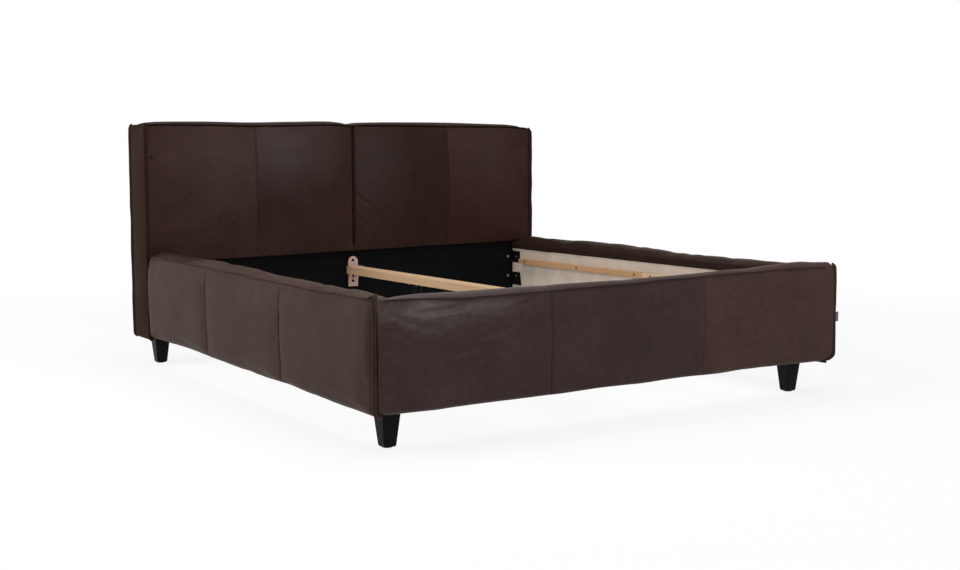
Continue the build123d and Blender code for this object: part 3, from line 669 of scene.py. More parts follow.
def corner_flange(corner, side, low, high, upper, lower, lean):
    """Root and outward directions of a flange that goes over the top, down a corner and round under it.

    The upper bend has one radius, and the lower one a height, a width and a share that goes backwards.
    """
    x, y = corner
    across, ahead = lean
    tall, wide, backwards = lower
    bend = np.radians(np.linspace(0, 70, 8))
    root, outward = [], []
    for turn in bend[::-1]:
        inward = upper * (1 - math.cos(turn))
        root.append((side * (x - inward * across), y - inward * ahead, high - upper * (1 - math.sin(turn))))
        outward.append((side * across * math.cos(turn), ahead * math.cos(turn), math.sin(turn)))
    for z in np.arange(high - upper - FLANGE_STEP, low + tall + FLANGE_STEP / 2, -FLANGE_STEP):
        root.append((side * x, y, z))
        outward.append((side * across, ahead, 0))
    for turn in bend:
        inward = wide * (1 - math.cos(turn))
        root.append((side * (x - inward), y + backwards * inward, low + tall * (1 - math.sin(turn))))
        outward.append((side * across * math.cos(turn), ahead, -across * math.sin(turn)))
    return root, outward


def straight(start, end, step=LIP_STEP):
    """Points from one place to another in even steps."""
    start, end = np.asarray(start, float), np.asarray(end, float)
    count = max(2, round(float(np.linalg.norm(end - start)) / step))
    return start + (end - start) * np.linspace(0, 1, count + 1)[:, None]


# Materials


WHITE = (1.0, 1.0, 1.0)
SCAR_EDGE = (0.004, 0.012)  # a scar fades out between these distances
SCAR_TINT = (0.25, 0.25, 0.25)
# Painted shade: this tint darkens the leather inside the bed and on the rails' crowns towards the
# headboard, where shade falls
INNER_SHADE_TINT = (0.46, 0.42, 0.41)
SHADED_CROWN = 0.12  # how much further out the painted shade goes on the crowns
SHADE_FROM = (0.30, 0.62)  # where along the bed that begins and is full
SHINE_FADE = 0.19
STREAK_LEVEL = 0.32

# Painted sheen: places where the gloss is raised to paint a sheen, with the middle of each, how quickly it
# fades along each axis, its gloss there and its streaks
SHINES = {
    "foot": ((-0.80, -1.147, 0.448), (0.55, 9.0, 2.4), 0.46, 0.36),
    "left": ((-0.60, 0.90, 0.84), (0.45, 1.0, 0.50), 0.16, 0.12),
    "left_deep": ((-0.36, 0.90, 0.95), (0.55, 1.0, 0.70), 0.24, 0.12),
    "right": ((0.08, 0.90, 0.86), (0.8, 1.0, 0.45), 0.16, 0.12),
    "right_tan": ((0.72, 0.90, 0.97), (0.5, 1.0, 0.55), 0.15, 0.12),
}


def put(tree, socket, value):
    """Links an input to a socket, or sets it to a number or colour."""
    if isinstance(value, bpy.types.NodeSocket):
        tree.links.new(value, socket)
    else:
        socket.default_value = value


def feed(tree, made, **inputs):
    """Fills the named inputs of a node."""
    for name, value in inputs.items():
        put(tree, made.inputs[name.replace("_", " ")], value)


def node(tree, kind, settings=None, **inputs):
    """Adds a shader node with its settings and inputs."""
    made = tree.nodes.new("ShaderNode" + kind)
    for name, value in (settings or {}).items():
        setattr(made, name, value)
    feed(tree, made, **inputs)
    return made


def worked_out(tree, operation, *values, kind="Math"):
    """The result of one step of arithmetic."""
    made = node(tree, kind, {"operation": operation})
    for socket, value in zip(made.inputs, values):
        put(tree, socket, value)
    return made.outputs["Value"]


def distance_from(tree, place, point):
    """Distance of each place from a point."""
    return worked_out(tree, "DISTANCE", place, point, kind="VectorMath")


def ramp(tree, factor, *stops):
    """A colour that changes with a factor."""
    made = node(tree, "ValToRGB", Fac=factor)
    elements = made.color_ramp.elements
    while len(elements) < len(stops):
        elements.new(0.5)
    for element, (place, colour) in zip(elements, stops):
        element.position = place
        element.color = (*colour, 1)
    return made.outputs["Color"]


def levels(tree, value, low, high, start=0.0, end=1.0):
    """A value mapped from start..end to low..high."""
    made = node(tree, "MapRange", Value=value, From_Min=start, From_Max=end, To_Min=low, To_Max=high)
    return made.outputs["Result"]


def stretched(tree, place, scale):
    """Texture places scaled by a different number on each axis."""
    return node(tree, "Mapping", Vector=place, Scale=scale).outputs["Vector"]


def speckle(tree, place, scale, detail, rough=0.5, distortion=0.0):
    """Cloudy noise between 0 and 1."""
    made = node(
        tree, "TexNoise", Vector=place, Scale=scale, Detail=detail, Roughness=rough, Distortion=distortion
    )
    return made.outputs["Fac"]


def cells(tree, place, scale, output="Distance", randomness=1.0):
    """Rounded cells: the distance from the middle of each, or a colour for each."""
    return node(tree, "TexVoronoi", Vector=place, Scale=scale, Randomness=randomness).outputs[output]


def surface(name):
    """A new material with its tree, its shader and its places in metres."""
    material = bpy.data.materials.new(name)
    material.use_nodes = True
    tree = material.node_tree
    place = node(tree, "TexCoord").outputs["Object"]
    return material, tree, tree.nodes["Principled BSDF"], place


def bump(tree, shader, *layers):
    """Height layers of (value, strength, metres), one over another."""
    normal = None
    for value, strength, distance in layers:
        made = node(tree, "Bump", Height=value, Strength=strength, Distance=distance)
        if normal:
            feed(tree, made, Normal=normal)
        normal = made.outputs["Normal"]
    feed(tree, shader, Normal=normal)


def mixed(tree, factor, first, second, kind="MIX"):
    """Two colours mixed by a factor."""
    made = node(tree, "MixRGB", {"blend_type": kind}, Fac=factor, Color1=first, Color2=second)
    return made.outputs["Color"]


def two_tones(tree, factor, colour, dark, light, start=0.3, end=0.7):
    """A colour between a darker and a lighter share of itself."""
    return ramp(tree, factor, (start, [c * dark for c in colour]), (end, [c * light for c in colour]))


def reach_out(tree, place):
    """Distance sideways from the middle of the bed, less a little on the crowns towards the headboard."""
    parts = node(tree, "SeparateXYZ", Vector=place).outputs
    width = worked_out(tree, "ABSOLUTE", parts["X"])
    along = levels(tree, parts["Y"], 0.0, SHADED_CROWN, *SHADE_FROM)
    above = levels(tree, parts["Z"], 0.0, 1.0, SEAM_HEIGHT, SEAM_HEIGHT + 0.008)
    return worked_out(tree, "SUBTRACT", width, worked_out(tree, "MULTIPLY", along, above))


def painted_sheen_gloss(tree, place, gloss, middle, shape, sheen_peak, streaky):
    """A gloss that rises in streaks towards one place, which paints a sheen there."""
    streaks = speckle(tree, stretched(tree, place, (5.0, 5.0, 16.0)), 1.6, 5.0, 0.65, 0.8)
    away = distance_from(tree, stretched(tree, place, shape), np.multiply(middle, shape))
    patchy = mixed(tree, streaky, away, streaks)
    start = STREAK_LEVEL * streaky
    return levels(tree, patchy, sheen_peak, gloss, start, start + SHINE_FADE)


def leather(name, dark, light, rough, gloss, mark=None, shine=None, inside=None):
    """Aniline leather: cloudy colour, fine pebbled grain and soft creases.

    It may have one small scar at a mark, a painted sheen where its gloss is raised, and painted shade that
    darkens it inside the bed.
    """
    material, tree, shader, place = surface(name)
    clouds = speckle(tree, place, 4.5, 5.0, 0.62)
    spots = speckle(tree, place, 42.0, 4.0, 0.7)
    creases = speckle(tree, place, 95.0, 5.0, 0.65)
    pores = speckle(tree, place, 1500.0, 2.0)
    pebbles = cells(tree, place, 620.0)
    colour = ramp(tree, clouds, (0.32, dark), (0.68, light))
    tints = [
        ramp(tree, spots, (0.30, (0.82, 0.81, 0.80)), (0.72, (1.10, 1.10, 1.10))),
        ramp(tree, pebbles, (0.0, (1.05, 1.05, 1.05)), (0.75, (0.84, 0.83, 0.82))),
    ]
    if mark:
        near = levels(tree, distance_from(tree, place, mark), 0, 1, *SCAR_EDGE)
        tints.append(ramp(tree, near, (0.0, SCAR_TINT), (1.0, WHITE)))
    # painted shade: a darker tint inside the bed and on the crowns near the headboard
    if inside:
        painted_shade = levels(tree, reach_out(tree, place), 0, 1, *inside)
        tints.append(ramp(tree, painted_shade, (0.0, INNER_SHADE_TINT), (1.0, WHITE)))
    for tint in tints:
        colour = mixed(tree, 1.0, colour, tint, "MULTIPLY")
    # painted sheen: the gloss is raised in patches where a sheen shows
    if shine:
        gloss = painted_sheen_gloss(tree, place, gloss, *shine)
    worn = levels(tree, spots, rough - 0.07, rough + 0.07, 0.3, 0.7)
    feed(tree, shader, Base_Color=colour, Roughness=worn, Specular_IOR_Level=gloss)
    bump(tree, shader, (creases, 0.35, 0.0012), (pebbles, 0.45, 0.0005), (pores, 0.25, 0.0002))
    return material


def felt(name, colour, lift, pitch):
    """Spunbond cloth: fine fibres and rows of small bonded dots."""
    material, tree, shader, place = surface(name)
    fibres = speckle(tree, place, 900.0, 4.0, 0.7)
    patches = speckle(tree, place, 14.0, 3.0)
    dots = cells(tree, place, 1 / pitch, randomness=0.15)
    base = two_tones(tree, fibres, colour, 0.72, lift, 0.30, 0.72)
    tone = mixed(tree, 1.0, base, two_tones(tree, patches, WHITE, 0.88, 1.06), "MULTIPLY")
    rough = levels(tree, fibres, 0.78, 0.98)
    feed(tree, shader, Base_Color=tone, Roughness=rough, Specular_IOR_Level=0.03)
    bump(tree, shader, (fibres, 0.5, 0.0004), (dots, 0.4, 0.0005))
    return material


def wood(name, pale, deep, rough, far_pale=None, far_deep=None, joint=0.0):
    """Sawn timber with its grain along Y; a second tone may start at a joint."""
    material, tree, shader, place = surface(name)
    fibres = speckle(tree, stretched(tree, place, (160.0, 5.0, 160.0)), 2.2, 5.0, 0.6)
    rings = speckle(tree, stretched(tree, place, (34.0, 1.3, 34.0)), 1.6, 3.0, distortion=0.8)
    factor = mixed(tree, 0.4, rings, fibres)
    tone = ramp(tree, factor, (0.30, deep), (0.62, pale))
    if far_pale:
        other = ramp(tree, factor, (0.30, far_deep), (0.62, far_pale))
        y = node(tree, "SeparateXYZ", Vector=place).outputs["Y"]
        tone = mixed(tree, levels(tree, y, 0, 1, joint - 0.001, joint + 0.001), tone, other)
    worn = levels(tree, fibres, rough - 0.08, rough + 0.10)
    feed(tree, shader, Base_Color=tone, Roughness=worn, Specular_IOR_Level=0.3)
    bump(tree, shader, (fibres, 0.35, 0.0006))
    return material


def painted_wood(name, colour):
    """Black stained legs: satin lacquer over closed grain, rubbed at random."""
    material, tree, shader, place = surface(name)
    grain = speckle(tree, stretched(tree, place, (260.0, 260.0, 14.0)), 1.4, 4.0)
    tone = two_tones(tree, grain, colour, 0.7, 1.5)
    rubbed = levels(tree, speckle(tree, place, 60.0, 4.0), 0.36, 0.52, 0.3, 0.7)
    feed(tree, shader, Base_Color=tone, Roughness=rubbed, Specular_IOR_Level=0.05)
    bump(tree, shader, (grain, 0.25, 0.0005))
    return material


def chipboard(name, pale, deep):
    """Raw board: pressed chips in several tones."""
    material, tree, shader, place = surface(name)
    long = stretched(tree, place, (1.0, 0.45, 1.0))
    dust = speckle(tree, place, 700.0, 3.0)
    chip = node(tree, "SeparateColor", Color=cells(tree, long, 260.0, "Color")).outputs["Red"]
    tone = ramp(tree, chip, (0.0, deep), (1.0, pale))
    feed(tree, shader, Base_Color=tone, Roughness=levels(tree, dust, 0.70, 0.92))
    bump(tree, shader, (cells(tree, long, 260.0), 0.3, 0.0005), (dust, 0.3, 0.0003))
    return material


def powder_coat(name, colour, rough):
    """Painted or moulded surface with a fine orange-peel texture."""
    material, tree, shader, place = surface(name)
    dust = speckle(tree, place, 55.0, 4.0)
    tone = two_tones(tree, dust, colour, 0.8, 1.5, 0.3, 0.75)
    worn = levels(tree, dust, rough - 0.06, rough + 0.08, 0.3, 0.7)
    feed(tree, shader, Base_Color=tone, Roughness=worn, Specular_IOR_Level=0.08)
    bump(tree, shader, (speckle(tree, place, 850.0, 3.0), 0.3, 0.0003))
    return material


def plated(name, *tones, rough=0.34):
    """Zinc plate whose passivation changes tint from place to place."""
    material, tree, shader, place = surface(name)
    tint = speckle(tree, place, 38.0, 3.0, distortion=0.6)
    scratches = speckle(tree, stretched(tree, place, (300.0, 300.0, 40.0)), 2.0, 4.0)
    stops = zip(np.linspace(0.30, 0.72, len(tones)), tones)
    worn = levels(tree, scratches, rough - 0.08, rough + 0.12)
    feed(tree, shader, Base_Color=ramp(tree, tint, *stops), Roughness=worn, Metallic=0.85)
    bump(tree, shader, (scratches, 0.2, 0.0002))
    return material


def woven(name, colour):
    """Plain woven tape."""
    material, tree, shader, place = surface(name)
    threads = []
    for axis in "ZX":
        wave = node(tree, "TexWave", {"bands_direction": axis}, Vector=place, Scale=520.0, Distortion=0.6)
        threads.append(wave.outputs["Fac"])
    weave = mixed(tree, 0.5, *threads)
    tone = two_tones(tree, weave, colour, 0.75, 1.0, 0.2, 0.8)
    feed(tree, shader, Base_Color=tone, Roughness=levels(tree, weave, 0.7, 0.9))
    bump(tree, shader, (weave, 0.5, 0.0004))
    return material


thread = woven("thread", (0.050, 0.035, 0.028))
# leather_front carries painted shade inside the bed and on the rails' crowns near the headboard
leather_front = leather(
    "leather_front", (0.0433, 0.0260, 0.0205), (0.0587, 0.0358, 0.0287), 0.47, 0.03, inside=(0.915, 0.945)
)
leather_mid = leather("leather_mid", (0.0435, 0.0278, 0.0253), (0.0588, 0.0381, 0.0352), 0.47, 0.04)
# leather_wine carries a painted sheen on the footboard's left panel
leather_wine = leather(
    "leather_wine", (0.0416, 0.0249, 0.0227), (0.0566, 0.0348, 0.0328), 0.38, 0.065, shine=SHINES["foot"]
)
leather_tan = leather("leather_tan", (0.0547, 0.0314, 0.0261), (0.0746, 0.0434, 0.0367), 0.50, 0.05)
leather_side = leather("leather_side", (0.0255, 0.0135, 0.0102), (0.0343, 0.0186, 0.0142), 0.50, 0.006)
# the head pads' leathers carry painted sheen patches
leather_left = leather(
    "leather_left", (0.0322, 0.0164, 0.0136), (0.0461, 0.0239, 0.0202), 0.42, 0.045, shine=SHINES["left"],
    mark=(-0.965, 0.938, 0.914),
)
leather_left_deep = leather(
    "leather_left_deep", (0.0274, 0.0139, 0.0116), (0.0391, 0.0202, 0.0171), 0.42, 0.045,
    shine=SHINES["left_deep"],
)
leather_right = leather(
    "leather_right", (0.0230, 0.0112, 0.0086), (0.0322, 0.0159, 0.0121), 0.42, 0.045, shine=SHINES["right"]
)
leather_right_tan = leather(
    "leather_right_tan", (0.0300, 0.0134, 0.0093), (0.0415, 0.0189, 0.0132), 0.42, 0.045,
    shine=SHINES["right_tan"],
)
black_felt = felt("black_felt", (0.0042, 0.0042, 0.0046), 1.5, 0.0035)
beige_felt = felt("beige_felt", (0.60, 0.51, 0.43), 1.12, 0.0045)
LEDGER_JOINT = -0.1175  # where the two ledgers of a side meet
FINISHES = {
    "board": chipboard("raw_board", (0.50, 0.36, 0.21), (0.30, 0.19, 0.10)),
    "hardboard": chipboard("hardboard", (0.17, 0.09, 0.045), (0.11, 0.055, 0.028)),
    "ledger_wood": wood(
        "ledger_timber", (0.52, 0.37, 0.24), (0.43, 0.284, 0.169), 0.55,
        far_pale=(0.43, 0.25, 0.129), far_deep=(0.344, 0.181, 0.085), joint=LEDGER_JOINT,
    ),
    "beam_wood": wood("beam_timber", (0.49, 0.33, 0.195), (0.39, 0.243, 0.133), 0.55),
    "leg_wood": painted_wood("leg_lacquer", (0.0055, 0.0054, 0.0056)),
    "black_steel": powder_coat("black_steel", (0.0035, 0.0035, 0.0039), 0.42),
    "plated_steel": plated(
        "yellow_zinc", (0.52, 0.33, 0.34), (0.42, 0.28, 0.23), (0.35, 0.25, 0.23), rough=0.42
    ),
    "fastener_steel": plated("zinc", (0.34, 0.34, 0.35), (0.46, 0.46, 0.47)),
    "black_plastic": powder_coat("black_plastic", (0.0050, 0.0050, 0.0055), 0.36),
    "tag_cloth": woven("tag_tape", (0.14, 0.145, 0.155)),
}
for part in frame["record"]["subparts"]:
    finish = FINISHES.get(part["material_slot"])
    if finish:
        frame["nodes"][part["node"]].material_slots[0].material = finish
# painted shade: the ledger screws get a darker zinc that stands in for the shade of their recesses
shaded_zinc = plated("shaded_zinc", (0.055, 0.050, 0.046), (0.10, 0.093, 0.086))
frame["nodes"]["ledger_screws"].material_slots[0].material = shaded_zinc


# Upholstery


def fixed(piece, nodes=()):
    """A piece that rides on the frame body and the nodes that it replaces."""
    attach(piece, "frame")
    if nodes:
        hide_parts(*nodes)
    return piece


foot_seam = between((-0.99, -0.60, 0.0, 0.60, 0.99), (0.482, 0.471, 0.481, 0.492, 0.492))
foot_crown = between(
    (-0.970, -0.955, -0.930, -0.90, -0.8, -0.5, -0.2, 0.1, 0.3, 0.55, 0.75, 0.85, 0.93, 0.97),
    (0.017, 0.018, 0.007, 0.010, 0.016, 0.0185, 0.016, 0.016, 0.017, 0.021, 0.031, 0.035, 0.030, 0.028),
)
foot_low_middle = between(
    (-0.99, -0.6, -0.3, -0.1, 0.05, 0.25, 0.4, 0.55, 0.86, 0.99),
    (0.125, 0.1262, 0.1265, 0.129, 0.127, 0.1305, 0.129, 0.132, 0.129, 0.127),
)
foot_skirt = between((-0.99, 0.0, 0.99), (SKIRT_EDGE, SKIRT_EDGE + 0.003, SKIRT_EDGE))
rail_seam = between((flange_y, -0.7, 0.0, 0.6, rail_end), (0.482, 0.478, 0.484, 0.486, 0.482))
rail_crown = between(
    (flange_y, -1.04, -0.9, -0.4, -0.1, 0.2, 0.5, 0.85, rail_end),
    (0.010, 0.015, 0.021, 0.019, 0.027, 0.033, 0.031, 0.032, 0.017),
)
rail_low = between(
    (flange_y, -0.89, -0.62, -0.43, -0.22, 0.0, 0.25, 0.51, 0.75, rail_end),
    (0.118, 0.1203, 0.1258, 0.131, 0.129, 0.131, 0.1345, 0.1385, 0.137, 0.134),
)
lower_edge = between((-0.99, -0.5, 0.0, 0.5, 0.99), (-0.008, -0.002, 0.006, 0.014, 0.020))
upper_edge = between(
    (-0.99, -0.9, -0.7, -0.515, -0.27, -0.1, 0.0, 0.06, 0.25, 0.47, 0.7, 0.88, 0.99),
    (-0.0005, 0.0025, 0.0028, 0.0005, 0.0065, 0.011, 0.006, 0.0095, 0.0115, 0.0105, 0.011, 0.011, 0.005),
)
head_crown = between(
    (-0.989, -0.96, -0.85, -0.5, -0.1, -0.04, 0.0, 0.06, 0.25, 0.5, 0.8, 0.95, 0.989),
    (-SIDE_SAG, 0.011, 0.015, 0.018, 0.017, 0.016, 0.010, 0.014, 0.017, 0.020, 0.016, 0.014, -SIDE_SAG),
)


def foot_low(s):
    """Lower edge of the footboard, rounded at both corners."""
    left = rounding(foot_end + s, CORNER_ROUND["left"])
    right = rounding(foot_end - s, CORNER_ROUND["right"])
    return foot_low_middle(s) + left + right


def wavy(height, seed, size, depth):
    """A height with a small wave along it."""

    def waved(s):
        return height(s) + depth * noise(seed, s / size) + 0.4 * depth * noise(seed + 1, s / size * 2.7)

    return waved


foot_heights = (
    wavy(foot_seam, 11, 0.12, 0.0015),
    wavy(foot_crown, 12, 0.15, 0.0020),
    wavy(foot_low, 13, 0.13, 0.0010),
    wavy(foot_skirt, 14, 0.06, 0.0030),
)


def rail_heights(seed):
    """Seam, crown, lower edge and skirt of one rail."""
    return (
        wavy(rail_seam, seed, 0.11, 0.0020),
        wavy(rail_crown, seed + 2, 0.14, 0.0022),
        wavy(rail_low, seed + 4, 0.12, 0.0015),
        wavy(foot_skirt, seed + 6, 0.05, 0.0035),
    )


SIDES = {"left": -1, "right": 1}
RAIL_SEED = {"left": 21, "right": 31}
rail_marks = (flange_y - 0.25, *RAIL_SEAMS, rail_end)
corner_stations = stations(flange_y, rail_start)
pad_up = (0.466, head_height - 0.003)
head_across = (-half_width + 0.001, half_width - 0.001)
boxing_across = (pad_front + 0.001, back_seam - 0.001)


def flat_edge(s):
    """An edge that neither rises nor falls."""
    return 0 * s


def side_edge(y):
    """Top edge of the side boxing, which sags between its two ears."""
    return -SIDE_SAG * swell(y, boxing_across, 2)


def back_edge(a):
    """Top edge of the headboard, seen from behind."""
    return upper_edge(-a)


def foot_wall_skin():
    """Leather of the footboard."""
    s = stations(-foot_end, foot_end, (-foot_end, *FOOT_SEAMS, foot_end))
    s = s[np.abs(s) <= foot_end]
    tuck = rounding(foot_end - np.abs(s), FOOT_END_ROLL)
    return wall_skin(s, (-foot_end, *FOOT_SEAMS, foot_end), foot_heights, foot_world, tuck)


def corner_tuck(y):
    """How far a rail's leather is drawn in near the corner seam of the footboard."""
    return CORNER_TUCK * (1 - ease((y - flange_y) / CORNER_REACH))


def rail_skin(name):
    """Leather of one rail, and beyond it to the corner seam of the footboard."""
    s = np.concatenate([corner_stations, stations(rail_start, rail_end, RAIL_SEAMS)[1:]])
    tuck = corner_tuck(s) + rounding(rail_end - s, HEAD_END_ROLL)
    return wall_skin(s, rail_marks, rail_heights(RAIL_SEED[name]), rail_world(SIDES[name]), tuck)


def hemmed(grid):
    """A grid with one more row close to its first row."""
    return np.concatenate([grid[:1], 0.97 * grid[:1] + 0.03 * grid[1:2], grid[1:]])


def rail_parts(name, whole):
    """A rail's leather cut where it meets the footboard: the rail's own part and the footboard's end."""
    side = SIDES[name]
    joint = 2 * (len(corner_stations) - 1)
    back = wall_back(rail_start, rail_end, rail_world(side))
    rail = Skin(hemmed(whole.grid[joint:]), None, back, whole.panels[joint - 1 :])
    grid = whole.grid[: joint + 3, 2 * SEAM_COLUMN : -2 * (UNDER_COLUMNS - 1)].copy()
    grid[joint + 1 :, :, 0] -= side * SKIN_GAP
    grid[..., 0] = side * np.maximum(side * grid[..., 0], foot_end + 2 * SKIN_GAP)
    back = grid[[0, -1]][:, [-1, 0]]
    back[..., 0] = side * (foot_end + SKIN_GAP)
    return rail, Skin(grid, None, back, np.full(len(grid) - 1, len(FOOT_SEAMS) + 1))


def rail_tongue_skin(name):
    """Leather tucked in between the end of a rail's skirt and the headboard."""
    side = SIDES[name]
    top = pad_up[0] + float(lower_edge(np.array(side * inner_half))) - 0.003
    world = side_world(side, inner_half - SKIN_GAP, -1)
    along = (rail_end - 0.030, head_face - 0.0015)
    return pad_skin(along, (SKIRT_EDGE, top), SKIRT_PROUD, 0.003, 0.002, world)


def head_pad_skin(name):
    """Leather of one front pad; below the channel the two pads meet."""
    side = SIDES[name]
    across = sorted((side * PAD_CHANNEL / 2, side * (head_across[1] + HEAD_SPREAD[name])))
    seam = LEFT_PAD_SEAM if name == "left" else RIGHT_PAD_SEAM
    edges = (lower_edge, upper_edge)
    skin = pad_skin(across, pad_up, PAD_EDGE, PAD_ROLL, PAD_BULGE, head_world, (seam,), edges, (4, 2.3))
    x, _, z = np.moveaxis(skin.grid, -1, 0)
    low = pad_up[0] + float(lower_edge(np.array(0.0)))
    closed = 1 - ease((z - low - 0.010) / CHANNEL_CLOSED)
    skin.grid[..., 0] -= side * (PAD_CHANNEL / 2 - SKIN_GAP) * closed * np.clip(1 - np.abs(x) / 0.06, 0, 1)
    rolled, inside = (slice(2, 6), 6) if side > 0 else (slice(-6, -2), -7)
    skin.grid[rolled, :, 1] += closed[rolled] * (skin.grid[inside, :, 1] - skin.grid[rolled, :, 1])
    return skin


def head_side_skin(name):
    """Leather boxing on one side of the headboard."""
    up = (board_low - HEAD_HEM, head_height - 0.002)
    world = side_world(SIDES[name], half_width - SIDE_SKIN)
    edges = (flat_edge, side_edge)
    return pad_skin(boxing_across, up, SIDE_SKIN, SKIN_ROLL, SIDE_BULGE, world, (), edges, (2.4, 8))


def head_side_filler(name):
    """Wadding between the boxing and the side board."""
    up = (board_low, head_board_top)
    depth = half_width - SIDE_SKIN - head_half - 2 * SKIN_GAP
    world = side_world(SIDES[name], head_half + SKIN_GAP)
    return pad_skin((panel_front, back_face), up, depth, FILLER_ROLL, 0, world)


def head_top_world(a, u, out):
    """Top of the headboard, along its seams."""
    return np.stack([a, u, pad_up[1] + upper_edge(a) + out], -1)


def head_top_skin():
    """Leather boxing on top of the headboard, drawn down at the channel and at both ends."""
    wide = (2 * head_across[0], 2 * head_across[1])
    return pad_skin(
        head_across, boxing_across, SIDE_SKIN, SKIN_ROLL, head_crown, head_top_world,
        power=(14, 2.4), marks=wide,
    )


def head_top_filler():
    """Wadding between the top boxing and the top board."""
    across = (-head_half, head_half)
    depth = pad_up[1] - head_board_top - 3 * SKIN_GAP
    world = top_world(head_board_top + SKIN_GAP)
    return pad_skin(across, (panel_front, back_face), depth, FILLER_ROLL, 0, world)


def head_back_skin():
    """Leather of the padded back."""
    up = (board_low, pad_up[1])
    marks = (head_across[0], 0, head_across[1])
    edges = (flat_edge, back_edge)
    return pad_skin(
        head_across, up, BACK_EDGE, BACK_ROLL, BACK_BULGE, back_world, (0.0,), edges, (6, 4), marks
    )


def front_return_skin(name):
    """Leather of the headboard's front beside the rail's end, below the pad."""
    side = SIDES[name]
    across = sorted((side * (board_half + 0.002), side * (half_width - 0.002)))
    return pad_skin(across, (board_low - HEAD_HEM, pad_up[0] - 0.010), PAD_EDGE, 0.006, 0, head_world)


# Soft folds that the photo shows: two places along and up, width and depth
FOOT_FOLDS = (
    ((-0.924, 0.422), (-0.782, 0.381), 0.010, 0.0036),
    ((-0.682, 0.333), (-0.471, 0.382), 0.012, 0.0036),
    ((-0.738, 0.299), (-0.580, 0.322), 0.010, 0.0036),
    ((-0.538, 0.416), (-0.368, 0.465), 0.009, 0.0036),
    ((-0.854, 0.436), (-0.671, 0.447), 0.009, 0.0036),
    ((-0.907, 0.368), (-0.818, 0.330), 0.010, 0.0036),
)
RAIL_FOLDS = {"left": (((-0.451, 0.315), (-0.498, 0.251), 0.008, 0.0018),), "right": ()}
PAD_FOLDS = {
    "left": (),
    "right": (
        ((0.013, 0.733), (0.076, 0.685), 0.009, 0.0032),
        ((0.012, 0.639), (0.064, 0.586), 0.009, 0.0032),
        ((0.006, 0.545), (0.042, 0.506), 0.008, 0.0032),
    ),
}
FOOTWARDS = (0, -1, 0)

foot_skin = foot_wall_skin()
rail_skins = {name: rail_skin(name) for name in SIDES}
pad_skins = {name: head_pad_skin(name) for name in SIDES}
side_skins = {name: head_side_skin(name) for name in SIDES}
top_skin = head_top_skin()
back_skin = head_back_skin()
blow_up([foot_skin, *rail_skins.values(), *pad_skins.values(), *side_skins.values(), top_skin, back_skin])

foot_skins = [creased(foot_skin.refined(), FOOTWARDS, 0, FOOT_FOLDS, 81)]
pad_tones = {"left": [leather_left, leather_left_deep], "right": [leather_right, leather_right_tan]}
for name, side in SIDES.items():
    whole = creased(rail_skins[name].refined(), (side, 0, 0), 1, RAIL_FOLDS[name], 83 + side)
    rail_part, end_part = rail_parts(name, whole)
    foot_skins.append(end_part)
    rail = leather_object(f"rail_cover_{name}", [rail_part, rail_tongue_skin(name)], [leather_front] * 3)
    fixed(rail, (f"rail_leather_{name}", f"rail_foam_{name}"))
    pad_part = creased(pad_skins[name].refined(), FOOTWARDS, 0, PAD_FOLDS[name], 87 + side)
    pad = leather_object(f"head_pad_{name}", [pad_part], pad_tones[name])
    fixed(pad, (f"head_pad_leather_{name}", f"head_pad_foam_{name}"))
    parts = [side_skins[name].refined(), head_side_filler(name), front_return_skin(name)]
    boxing = leather_object(f"head_side_{name}", parts, [leather_side])
    fixed(boxing, (f"head_boxing_{name}",))
foot_tones = [leather_wine, leather_mid, leather_tan, leather_front]
foot_cover = leather_object("foot_cover", foot_skins, foot_tones)
fixed(foot_cover, ("foot_leather", "foot_foam"))
top_piece = leather_object("head_top", [top_skin.refined(), head_top_filler()], [leather_side])
fixed(top_piece, ("head_boxing_top",))
back_piece = leather_object("head_back", [back_skin.refined()], [leather_left, leather_left])
fixed(back_piece, ("head_back_cover",))


# Trim


def flange(name, path, width, material, seed):
    """A flange along a corner seam."""
    strip = strip_object(name, *path, width, FLANGE_LEAF, material, seed, FLANGE_GROOVE)
    fixed(strip)


def seam_lip(name, places, outward, width, seed, material):
    """A narrow lip along a seam."""
    directions = np.broadcast_to(np.asarray(outward, float), places.shape)
    fixed(strip_object(name, places, directions, width, LIP_LEAF, material, seed))


for number, (name, side) in enumerate(SIDES.items()):
    corner = (foot_end + FOOT_FLARE[name] + 0.002, foot_front + 0.0015)
    ends = (board_low - 0.004, FOOT_EAR[name])
    lean = (FLANGE_LEAN[name][0], -FLANGE_LEAN[name][1])
    under = CORNER_ROUND[name] + 0.75 * FOOT_FLARE[name]
    path = corner_flange(corner, side, *ends, EAR_ROUND, (CORNER_ROUND[name], under, FOOT_BACKWARDS), lean)
    flange(f"foot_flange_{name}", path, FOOT_FLANGE[name], leather_front, 41 + number)
    for place, y, ahead in (("front", pad_front + 0.003, -1), ("rear", back_seam - 0.003, 1)):
        ends = (board_low - HEAD_HEM - 0.002, head_height + 0.002)
        lean = (FLANGE_LEAN[name][0], ahead * FLANGE_LEAN[name][1])
        corner = (half_width - 0.004 + HEAD_SPREAD[name], y)
        path = corner_flange(corner, side, *ends, HEAD_EAR_ROUND, HEAD_BEND, lean)
        flange(f"head_flange_{place}_{name}", path, HEAD_FLANGE[name], leather_side, 51 + 7 * number)
    y = np.arange(flange_y + 0.004, rail_end - 0.014, LIP_STEP)
    x = side * (half_width - SEAM_SINK - corner_tuck(y))
    places = np.stack([x, y, rail_heights(RAIL_SEED[name])[0](y)], 1)
    seam_lip(f"rail_lip_{name}", places, (side * 0.75, 0, 0.65), TOP_LIP, 61 + number, leather_front)
    y = np.linspace(*boxing_across, 26)
    places = np.stack([0 * y + side * (half_width - 0.002), y, head_height - 0.001 + side_edge(y)], 1)
    out = (side * 0.7, 0, 0.7)
    seam_lip(f"head_side_lip_{name}", places, out, 0.6 * TOP_LIP, 65 + number, leather_side)

